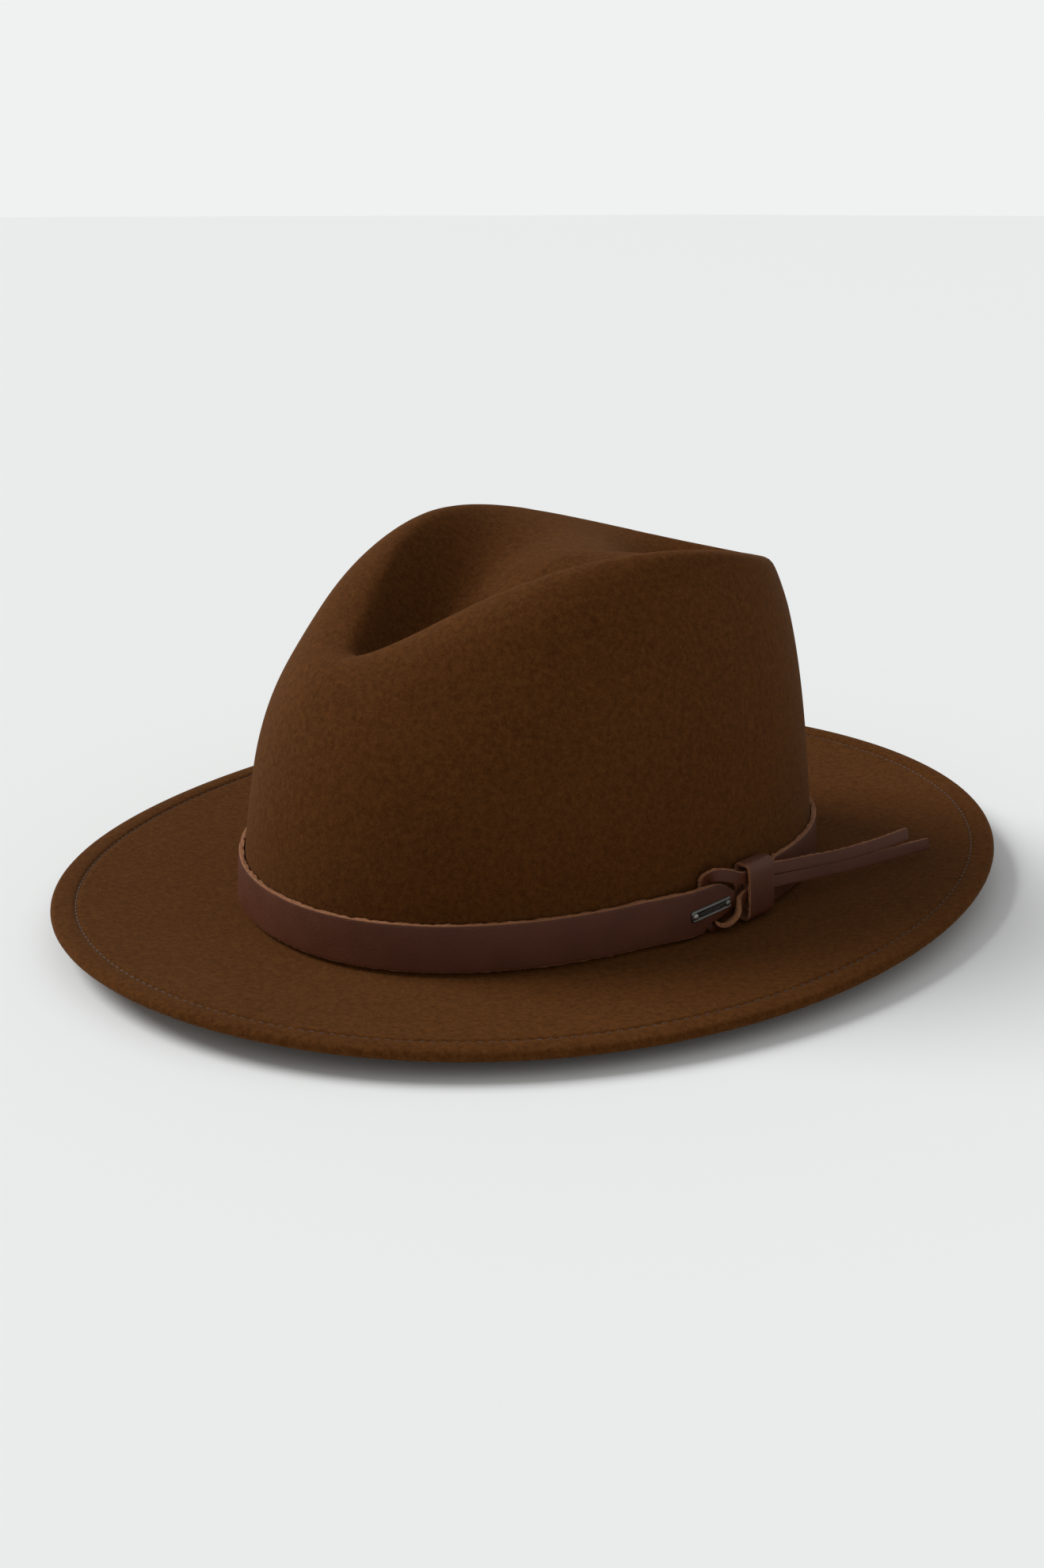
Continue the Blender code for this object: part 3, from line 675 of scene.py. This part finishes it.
def felt_body(felt):
    """Crown and brim in one piece, its edge turned under and sewn down."""
    crown = crown_grid(64, 40)
    normals = inward_normals(crown)
    swell = hand_blocking(crown)
    swell[-1] = 0
    crown = crown - normals * swell[..., None]
    top = [brim_ring(inset) for inset in TOP_INSETS]
    widths = np.linalg.norm((brim_edge(TURNS) - foot(TURNS))[:, :2], axis=1)
    flat_rings = [np.array([brim_top(turn, (1 - share) * width)
                            for turn, width in zip(TURNS, widths)]) for share in BRIM_SHARES]
    away = np.array([outward(turn) for turn in TURNS])
    fillet = [foot(TURNS) + away * run + UP * rise for run, rise in FOOT_CURVE]
    crown[0] = np.array([crown_wall(turn, FOOT_TOP) for turn in TURNS])
    crown[1] = (crown[1] + crown[2]) / 2
    inside = crown + normals * FELT
    inside[-1, :, 0] = 0
    top += flat_rings
    rings = (list(crown[::-1]) + fillet[::-1] + top[::-1] + edge_fold(top[0])
             + brim_underside(flat_rings, away) + list(inside))
    return add_piece("felt_crown_and_brim", loft(rings, "merge"), felt, "hat",
                     ["felt_body"], 70)


STITCH_COUNT = 300
STITCH_HALF_LENGTH = 0.00112
STITCH_RADIUS = 0.00021
STITCH_LIFT = 0.00016          # the stitches lie this far above the groove's bottom
STITCH_DIP = 0.0002            # and their ends dive into the felt by this much
# a stitch's swelling along its length: share of its half length, share of its radius
STITCH_SHAPE = ((-0.98, 0.30), (-0.72, 0.85), (0.0, 1.0), (0.72, 0.85), (0.98, 0.30))


def brim_stitches(thread):
    """Row of short lock stitches lying in the brim's groove."""
    stitches = []
    for turn in np.arange(STITCH_COUNT) * math.tau / STITCH_COUNT:
        here = brim_top(turn, WELT_WIDTH) + UP * STITCH_LIFT
        along = brim_top(turn + 0.01, WELT_WIDTH) - brim_top(turn - 0.01, WELT_WIDTH)
        along /= np.linalg.norm(along)
        aside = np.cross(along, UP)
        rings = [ring_at(here + along * share * STITCH_HALF_LENGTH - UP * STITCH_DIP * share ** 2,
                         aside, UP, STITCH_RADIUS * swell, 6)
                 for share, swell in STITCH_SHAPE]
        stitches.append(loft(rings, "cap"))
    return add_piece("brim_stitches", gather(stitches), thread, "hat",
                     ["brim_stitching"])


# ---- leather strips ------------------------------------------
FRAY_TOP = 0.9                 # share of the thickness up to which a cut edge frays
FRAY_LIFT = 0.4                # fibres stand out from the face less than from the edge
# cross-section of a strip: share across it, share of its thickness, 1 where it is raw
SECTION = ((0.004, 0.10, 1), (0.000, 0.45, 1), (0.002, 0.80, 1), (0.012, 0.94, 1), (0.030, 0.99, 0),
           (0.080, 1.00, 0), (0.300, 1.00, 0), (0.500, 1.00, 0), (0.700, 1.00, 0), (0.920, 1.00, 0),
           (0.970, 0.99, 0), (0.988, 0.94, 1), (0.998, 0.80, 1), (1.000, 0.45, 1), (0.996, 0.10, 1),
           (0.900, 0.00, 1), (0.500, 0.00, 1), (0.100, 0.00, 1))


def strip(name, lows, highs, faces, thickness, leather, body, stands_for, ends="cap", fray=0.00014):
    """Leather strip between two edge lines on its flesh side; faces point out of its grain."""
    lows, highs, faces = np.array(lows), np.array(highs), np.array(faces)
    count = len(lows)
    width = np.linalg.norm(highs - lows, axis=1).mean()
    rings = []
    ragged = rng.normal(size=(count, len(SECTION), 2))
    ragged = (ragged + np.roll(ragged, 1, axis=0) + np.roll(ragged, -1, axis=0)) / 3 ** 0.5
    for index in range(count):
        across = highs[index] - lows[index]
        ring = []
        for corner, (share, rise, raw) in enumerate(SECTION):
            point = lows[index] + across * share + faces[index] * thickness * rise
            if raw and 0 < rise < FRAY_TOP:
                point = point + across / width * fray * ragged[index, corner, 0]
                point = point + faces[index] * FRAY_LIFT * fray * ragged[index, corner, 1]
            ring.append(point)
        rings.append(ring)
    bm = loft(rings, ends)
    raw_layer = bm.verts.layers.float.new("raw")
    place = bm.verts.layers.int["place"]
    for vert in bm.verts:
        vert[raw_layer] = SECTION[vert[place]][2]
    return add_piece(name, bm, leather, body, stands_for, 60)


TIP_LOWER_CUT = ((0, 0.0056), (1.1, 0.0044), (3.1, 0.0032), (4.7, 0.0027), (6.2, 0.0))
TIP_UPPER_CUT = ((0, 0.0044), (1.1, 0.0024), (2.4, 0.0009), (3.8, 0.0))


def eased(value, table):
    """Value read from a short table, with the corners rounded a little."""
    places, sizes = zip(*table)
    return float(np.mean([np.interp(value + shift, places, sizes)
                          for shift in (-0.4, -0.2, 0, 0.2, 0.4)]))


def band_strap(leather):
    """Strap once round the crown, from its tapered tip to its end under the keeper."""
    tip = KNOT_TURN - math.radians(5.2)
    end = KNOT_TURN - math.radians(1.5) - math.tau
    lows, highs, faces = [], [], []
    for turn in np.linspace(tip, end, 760):
        from_tip = math.degrees(tip - turn)
        from_end = math.degrees(turn - end)
        narrow = 0.0020 * min(1.0, max(0.0, (10 - from_end) / 4))
        low = narrow + eased(from_tip, TIP_LOWER_CUT)
        high = STRAP_WIDTH - narrow - eased(from_tip, TIP_UPPER_CUT)
        over_lace = (LACE + GAP) * min(1.0, max(0.0, (17 - from_tip) / 8))
        over_keeper = (KEEPER + GAP) * min(1.0, max(0.0, (9.5 - from_end) / 4))
        inner = GAP + over_lace + over_keeper
        bottom, top = by_band(turn, inner, low), by_band(turn, inner, high)
        along = np.cross(UP, outward(turn))
        face = np.cross(along, top - bottom)
        lows.append(bottom)
        highs.append(top)
        faces.append(face / np.linalg.norm(face))
    return strip("band_strap_leather", lows, highs, faces, STRAP, leather, "hat", ["band_strap"])


def band_keeper(leather):
    """Rounded loop round the rear strap and both laces."""
    inner_out = GAP + KEEPER
    outer_out = 5 * GAP + KEEPER + STRAP + LACE
    low, high = 0.0010, STRAP_WIDTH + 0.0026
    middle = np.array([(inner_out + outer_out) / 2, (low + high) / 2])
    half = np.array([(outer_out - inner_out) / 2, (high - low) / 2])
    lows, highs, faces = [], [], []
    steps = 120
    line = []
    for angle in np.arange(steps) * math.tau / steps:
        side = np.array([math.copysign(abs(math.cos(angle)) ** 0.35, math.cos(angle)),
                         math.copysign(abs(math.sin(angle)) ** 0.30, math.sin(angle))])
        line.append(side * half + middle)
    line = np.array(line + line[:1])
    reach = np.concatenate([[0], np.cumsum(np.linalg.norm(np.diff(line, axis=0), axis=1))])
    places = np.linspace(0, reach[-1], 97)[:-1]
    loop = np.stack([np.interp(places, reach, line[:, axis]) for axis in (0, 1)], -1)
    ahead = np.roll(loop, -1, axis=0) - np.roll(loop, 1, axis=0)
    turns = past(KNOT_TURN, -KEEPER_HALF_WIDTH), past(KNOT_TURN, KEEPER_HALF_WIDTH)
    away = outward(KNOT_TURN)
    for (out, up), (out_step, up_step) in zip(loop, ahead):
        lows.append(by_band(turns[0], out, up))
        highs.append(by_band(turns[1], out, up))
        face = up_step * away - out_step * UP
        faces.append(face / np.linalg.norm(face))
    return strip("band_keeper_leather", lows, highs, faces, KEEPER, leather, "hat", ["band_keeper"],
                 "join", 0.00010)


LACE_OUT = 3 * GAP + KEEPER + STRAP + LACE / 2
LACE_BACK = GAP + LACE / 2
EXIT_TURN = past(KNOT_TURN, KEEPER_HALF_WIDTH)
EXIT_DEGREES = math.degrees(EXIT_TURN)
UPPER_ROOT = 0.0136
LOWER_ROOT = 0.0093
# route of each lace: degrees round the hat, distance out of the felt, height, roll in degrees
UPPER_LOOP = (
    (89.4, LACE_BACK, 0.0084, 0), (89.0, LACE_BACK, 0.0145, 0), (88.9, 0.0022, 0.0172, 0),
    (89.8, 0.0042, 0.0184, 0), (91.6, 0.0058, 0.0178, 0), (93.6, 0.0058, 0.0160, 0),
    (95.5, LACE_OUT, 0.0146, 0), (99.0, LACE_OUT, 0.0138, 0),
    (EXIT_DEGREES, LACE_OUT, UPPER_ROOT, 0))
LOWER_LOOP = (
    (90.2, LACE_BACK, 0.0076, 0), (90.2, LACE_BACK, 0.0030, 0), (90.3, 0.0026, 0.00105, 10),
    (91.5, 0.0054, 0.0014, 50), (93.0, 0.0068, 0.0038, 50), (94.3, 0.0056, 0.0060, 20),
    (95.5, LACE_OUT, 0.0077, 0), (97.5, LACE_OUT, 0.0088, 0), (99.5, LACE_OUT, 0.0092, 0),
    (EXIT_DEGREES, LACE_OUT, LOWER_ROOT, 0))


def tail_frame(root_height):
    """Pivot, heading, width axis and face direction of a tail."""
    pivot = by_band(past(EXIT_TURN, TAIL_GAP), LACE_OUT, root_height)
    away = outward(EXIT_TURN)
    along = np.cross(UP, away)
    heading = along * math.cos(TAIL_SPLAY) + away * math.sin(TAIL_SPLAY)
    face = np.cross(heading, UP)
    axis = UP * math.cos(TAIL_LEAN) - face * math.sin(TAIL_LEAN)
    return pivot, heading, axis, np.cross(heading, axis)


def lace(name, route, root_height, length, droop, leather, stands_for):
    """Lace from behind the strap's tip through the keeper to its free end."""
    places = smooth_route(route, 110)
    centres, normals = [], []
    for degrees, out, height, _ in places:
        centres.append(by_band(math.radians(degrees), out, height))
    for (degrees, _, _, roll), ahead in zip(places, np.gradient(np.array(centres), axis=0)):
        away = outward(math.radians(degrees))
        flat = np.cross(ahead, away)
        flat /= np.linalg.norm(flat)
        normals.append(away * math.cos(math.radians(roll)) + flat * math.sin(math.radians(roll)))
    pivot, heading, axis, face = tail_frame(root_height)
    shape = [(length * index / (len(droop) - 1), drop, 0) for index, drop in enumerate(droop)]
    for run, drop, _ in smooth_route(shape, 130)[1:]:
        centres.append(pivot + heading * run - axis * drop)
        normals.append(face)
    centres, normals = np.array(centres), np.array(normals)
    for _ in range(4):
        normals[1:-1] = (normals[:-2] + normals[1:-1] + normals[2:]) / 3
        centres[100:122] = (centres[99:121] + centres[100:122] + centres[101:123]) / 3
    ahead = np.gradient(centres, axis=0)
    across = np.cross(normals, ahead)
    across /= np.linalg.norm(across, axis=1, keepdims=True)
    faces = np.cross(ahead, across)
    faces /= np.linalg.norm(faces, axis=1, keepdims=True)
    back = centres - faces * LACE / 2
    piece = strip(name, back - across * LACE_WIDTH / 2, back + across * LACE_WIDTH / 2, faces, LACE,
                  leather, None, stands_for, fray=0.00010)
    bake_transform(piece)
    return piece


# ---- badge, rivets and tacks ---------------------------------
def on_badge(along, up, out):
    """Point on the badge: along it, up it, and out of the strap's face."""
    run = along * math.cos(BADGE_TILT) - up * math.sin(BADGE_TILT)
    rise = along * math.sin(BADGE_TILT) + up * math.cos(BADGE_TILT)
    face = GAP + LACE + GAP + STRAP
    return by_band(past(BADGE_TURN, run), face + out, STRAP_WIDTH / 2 + rise)


def badge_plate(metal):
    """Plain bar with a raised rim round a sunk panel and a row of round beads."""
    bm = bmesh.new()
    bmesh.ops.create_grid(bm, x_segments=34, y_segments=8, size=0.5)
    raw = bm.verts.layers.float.new("raw")
    for vert in bm.verts:
        along, up = vert.co.x * BADGE_LENGTH, vert.co.y * BADGE_HEIGHT
        corner = max(0.0, abs(vert.co.x) - 0.46) / 0.04
        up *= 1 - 0.22 * corner ** 2
        margin = min(BADGE_LENGTH / 2 - abs(along), BADGE_HEIGHT / 2 - abs(up))
        rim = math.exp(-((margin - 0.0004) / 0.00028) ** 2)
        bead = math.cos(along / 0.0011 * math.pi) ** 2 * math.exp(-(up / 0.0007) ** 2)
        inside = abs(along) < BADGE_LENGTH / 2 - 0.0032
        out = BADGE * 0.62 + 0.00022 * rim + (0.00016 * bead if inside else 0)
        out -= 0.00030 * max(0.0, 1 - margin / 0.0002)
        vert[raw] = 0.45 * rim + (0.25 * bead if inside else 0)
        vert.co = on_badge(along, up, out)
    bmesh.ops.recalc_face_normals(bm, faces=bm.faces)
    rim_edges = [edge for edge in bm.edges if edge.is_boundary]
    grown = bmesh.ops.extrude_edge_only(bm, edges=rim_edges)["geom"]
    away = outward(BADGE_TURN)
    verts = [item for item in grown if isinstance(item, bmesh.types.BMVert)]
    bmesh.ops.translate(bm, verts=verts, vec=Vector(away * -0.0003))
    bmesh.ops.holes_fill(bm, edges=bm.edges)
    bmesh.ops.recalc_face_normals(bm, faces=bm.faces)
    return add_piece("badge_bar", bm, metal, "hat", ["badge_plate"])


def badge_rivet(name, side, metal, node):
    """Domed rivet that holds one end of the badge."""
    middle = side * (BADGE_LENGTH / 2 - 0.0016)
    rings = []
    for radius, rise in ((0.00105, -0.0001), (0.00105, 0.00025), (0.00095, 0.00042),
                         (0.00070, 0.00060), (0.00040, 0.00070), (0.00012, 0.00073)):
        rings.append([on_badge(middle + radius * math.cos(angle), radius * math.sin(angle),
                               BADGE * 0.62 + rise)
                      for angle in np.arange(24) * math.tau / 24])
    bm = loft(rings, "cap")
    raw = bm.verts.layers.float.new("raw")
    for vert in bm.verts:
        # painted glint: the front rivet is made far brighter than the rear one, which keeps only
        # the plating's worn level
        vert[raw] = 0.9 if side < 0 else 0.35
    return add_piece(name, bm, metal, "hat", [node], 50)


TACK_RADIUS = 0.00028
TACK_HALF_LENGTH = 0.0029
TACK_MIDDLE = 0.0075           # height of the tack's middle above the strap's lower edge


def strap_tack(name, turn, thread, node):
    """Two short stitches over the strap that tack it to the crown."""
    away = outward(turn)
    along = np.cross(UP, away)
    stitches = []
    for shift in (-0.0003, 0.0003):
        rings = []
        for share in np.linspace(-1, 1, 9):
            centre = by_band(turn, GAP + STRAP + 0.0002 - 0.0006 * share ** 6,
                             TACK_MIDDLE + share * TACK_HALF_LENGTH)
            rings.append(ring_at(centre + along * (shift + 0.0002 * share), along, away,
                                 TACK_RADIUS, 8))
        stitches.append(loft(rings, "cap"))
    return add_piece(name, gather(stitches), thread, "hat", [node])


# ---- inside the crown ----------------------------------------
def inside_wall(turn, out, height):
    """Point inside the crown: distance from the felt's inner face, height above the foot."""
    return crown_wall(turn, height) - (FELT + out) * outward(turn)


def sweatband(leather):
    """Leather band that goes round the head, with a soft rolled upper edge."""
    behind = 3 * GAP + LINING
    low, high = 0.0016, 0.0016 + SWEATBAND_WIDTH
    section = [(0.0, low), (-0.0001, low + 0.004), (0.0, low + 0.012), (0.0, low + 0.022),
               (0.0, high - 0.0008), (0.0003, high - 0.0001), (0.0007, high - 0.0001),
               (SWEATBAND, high - 0.0008), (SWEATBAND + 0.0002, low + 0.022),
               (SWEATBAND + 0.0003, low + 0.012), (SWEATBAND + 0.0002, low + 0.005),
               (SWEATBAND - 0.0001, low + 0.0036), (SWEATBAND, low + 0.0028), (SWEATBAND, low)]
    rings = [[inside_wall(turn, behind + out, height) for out, height in section] for turn in TURNS]
    return add_piece("sweatband_leather", loft(rings, "join"), leather, "hat",
                     ["sweatband"], 60)


def sweatband_reed(leather):
    """Piped lower edge of the sweatband, whipped with thread."""
    rings = []
    count, sides = 960, 10
    for number in range(count):
        turn = number * math.tau / count
        centre = inside_wall(turn, 3 * GAP + LINING + SWEATBAND / 2, 0.0016)
        centre = centre - UP * (GAP + REED_RADIUS)
        away = outward(turn)
        radius = REED_RADIUS * (1 - 0.10 * math.cos(number * math.pi / 2) ** 2)
        rings.append(ring_at(centre, away, UP, radius, sides))
    return add_piece("sweatband_reed_cord", loft(rings, "join"), leather, "hat",
                     ["sweatband_reed"], 60)


def map_weave(bm, across, along):
    """Give a mesh a map in metres for its weave, from two functions of a point."""
    layer = bm.loops.layers.uv.new("weave")
    for face in bm.faces:
        for loop in face.loops:
            loop[layer].uv = (across(loop.vert.co), along(loop.vert.co))


def sweatband_bow(ribbon):
    """Small flat ribbon bow over the sweatband's seam at the back."""
    out = 3 * GAP + LINING + SWEATBAND + 0.0005
    rings = []
    for run in np.linspace(-0.0110, 0.0110, 45):
        share = abs(run) / 0.0110
        half = 0.0016 + 0.0026 * min(1.0, share * 1.5) ** 1.3 - 0.0004 * max(0, share - 0.9) * 10
        puff = 0.0002 + 0.0009 * math.sin(math.pi * min(1.0, share)) ** 2
        turn = past(math.pi, run)
        ring = []
        for up, side in ((-1, 0), (-0.95, 0.6), (-0.5, 1), (0, 0.92), (0.5, 1), (0.95, 0.6), (1, 0),
                         (0.5, -0.1), (-0.5, -0.1)):
            ring.append(inside_wall(turn, out + 0.0001 + puff * side, 0.0120 + half * up))
        rings.append(ring)
    knot = []
    for run in np.linspace(-0.0016, 0.0016, 9):
        turn = past(math.pi, run)
        swell = 0.0003 + 0.0010 * math.cos(run / 0.0016 * math.pi / 2) ** 0.5
        knot.append([inside_wall(turn, out + swell * side, 0.0120 + 0.0021 * up)
                     for up, side in ((-1, 0), (-0.7, 0.8), (0, 1), (0.7, 0.8), (1, 0),
                                      (0, -0.05))])
    bm = gather([loft(rings, "cap"), loft(knot, "cap")])
    map_weave(bm, lambda point: point.x, lambda point: point.z)
    return add_piece("sweatband_ribbon_bow", bm, ribbon, "hat", ["sweatband_bow"], 60)


def lining_skin(points, normals, first, last, pleats):
    """Two faces of a lining panel between two rings of the crown, with soft pleats."""
    outer = points[first:last + 1] + normals[first:last + 1] * (FELT + GAP)
    depth = np.zeros(outer.shape[:2])
    if pleats:
        share = np.linspace(0, 1, outer.shape[0])[:, None]
        depth = 0.0011 * share ** 2 * (0.5 + 0.5 * np.cos(TURNS * pleats))[None, :] ** 2
    in_by = (FELT + GAP + LINING + depth)[..., None]
    inner = points[first:last + 1] + normals[first:last + 1] * in_by
    return outer, inner


def lining(satin):
    """Satin side panel, pleated at its top, and the tip inside the dent."""
    crown = crown_grid(40, 24)
    normals = inward_normals(crown)
    outer, inner = lining_skin(crown, normals, 5, 36, 60)
    bm = loft(list(outer) + list(inner[::-1]), "join")
    map_weave(bm, lambda point: math.atan2(point.x, point.y) * 0.09, lambda point: point.z)
    side = add_piece("lining_side_satin", bm, satin, "hat", ["lining_side"], 60)
    outer, inner = lining_skin(crown, normals, 36, len(crown) - 1, 0)
    shift = 0.12 * (outer[1] - outer[0])
    outer[0] += shift
    inner[0] += shift
    outer[-1, :, 0] = inner[-1, :, 0] = 0
    bm = loft(list(outer[::-1]) + list(inner), "merge")
    map_weave(bm, lambda point: point.x, lambda point: point.y)
    tip = add_piece("lining_tip_satin", bm, satin, "hat", ["lining_tip"], 60)


# ---- studio --------------------------------------------------
def towards(turn, height):
    """Direction from the hat to a place at a turn and a height, both in degrees."""
    turn, height = math.radians(turn), math.radians(height)
    return Vector((math.sin(turn) * math.cos(height), -math.cos(turn) * math.cos(height),
                   math.sin(height)))


def studio():
    """Pale seamless floor, soft light from the upper left, and the camera."""
    floor_material, _, shader = new_material("studio_floor", 0.9, specular_ior_level=0.1)
    shader.inputs["Base Color"].default_value = (*FLOOR_SHADE, 1.0)
    bm = bmesh.new()
    bmesh.ops.create_grid(bm, x_segments=4, y_segments=4, size=40)
    mesh = bpy.data.meshes.new("studio_floor")
    bm.to_mesh(mesh)
    bm.free()
    mesh.materials.append(floor_material)
    floor = bpy.data.objects.new("studio_floor", mesh)
    floor.location.z = -0.0001
    bpy.context.scene.collection.objects.link(floor)

    world = bpy.data.worlds.new("studio")
    bpy.context.scene.world = world
    world.use_nodes = True
    sky = Recipe(world.node_tree)
    light = world.node_tree.nodes["Background"]
    light.inputs["Color"].default_value = (1.0, 1.0, 1.0, 1.0)
    light.inputs["Strength"].default_value = DOME_STRENGTH
    seen = sky.node("ShaderNodeBackground")
    seen.inputs["Color"].default_value = (*BACKDROP_SHADE, 1.0)
    mix = sky.node("ShaderNodeMixShader")
    sky.join(sky.node("ShaderNodeLightPath").outputs["Is Camera Ray"], mix.inputs["Fac"])
    sky.join(light.outputs[0], mix.inputs[1])
    sky.join(seen.outputs[0], mix.inputs[2])
    sky.join(mix.outputs[0], world.node_tree.nodes["World Output"].inputs["Surface"])

    for name, turn, height, strength, softness in SOFT_LIGHTS:
        data = bpy.data.lights.new(name, "SUN")
        data.energy = strength
        data.angle = math.radians(softness)
        lamp = bpy.data.objects.new(name, data)
        from_lamp = -towards(turn, height)
        lamp.rotation_mode = "QUATERNION"
        lamp.rotation_quaternion = from_lamp.to_track_quat("-Z", "Y")
        bpy.context.scene.collection.objects.link(lamp)

    data = bpy.data.cameras.new("camera")
    data.lens = CAMERA_LENS
    data.clip_start, data.clip_end = 0.01, 200
    camera = bpy.data.objects.new("camera", data)
    back = towards(CAMERA_TURN, CAMERA_RISE)
    camera.location = Vector(CAMERA_AIM) + back * CAMERA_DISTANCE
    camera.rotation_mode = "QUATERNION"
    camera.rotation_quaternion = (-back).to_track_quat("-Z", "Y")
    bpy.context.scene.collection.objects.link(camera)
    bpy.context.scene.camera = camera
    bpy.context.scene.view_settings.view_transform = "Standard"


def dress_hat():
    """Make every visible piece of the hat."""
    nap, hide = nap_group(), hide_group()
    felt_body(felt_material(nap))
    brim_stitches(thread_material("brim_thread", (0.030, 0.0100, 0.0025), (0.070, 0.0260, 0.0080)))
    leather = band_leather_material(hide)
    band_strap(leather)
    band_keeper(leather)
    lace("lace_upper", UPPER_LOOP, UPPER_ROOT, UPPER_TAIL, (0, 0.0009, 0.0017, 0.0016, 0.0006),
         leather, ["lace_loop_upper", "tail_upper"])
    lace("lace_lower", LOWER_LOOP, LOWER_ROOT, LOWER_TAIL, (0, 0.0009, 0.0016, 0.0018, 0.0019),
         leather, ["lace_loop_lower", "tail_lower"])
    metal = gunmetal_material()
    badge_plate(metal)
    badge_rivet("badge_rivet_front_dome", -1, metal, "badge_rivet_front")
    badge_rivet("badge_rivet_rear_dome", 1, metal, "badge_rivet_rear")
    tack = thread_material("tack_thread", (0.055, 0.0200, 0.0080), (0.12, 0.0500, 0.0200))
    strap_tack("strap_tack_back_thread", math.pi, tack, "strap_tack_back")
    strap_tack("strap_tack_right_thread", 1.5 * math.pi, tack, "strap_tack_right")
    sweatband(plain_leather_material("sweatband_hide", hide, (0.075, 0.034, 0.014),
                                     (0.110, 0.052, 0.023), 0.8))
    sweatband_reed(plain_leather_material("reed_hide", hide, (0.050, 0.022, 0.009),
                                          (0.080, 0.036, 0.016), 1.2))
    sweatband_bow(woven_material("bow_ribbon", (0.016, 0.008, 0.004), (0.045, 0.024, 0.012),
                                 (500, 900), 0.5))
    lining(woven_material("lining_satin", (0.060, 0.032, 0.015), (0.105, 0.060, 0.030),
                          (1400, 1400), 0.32))


dress_hat()
studio()
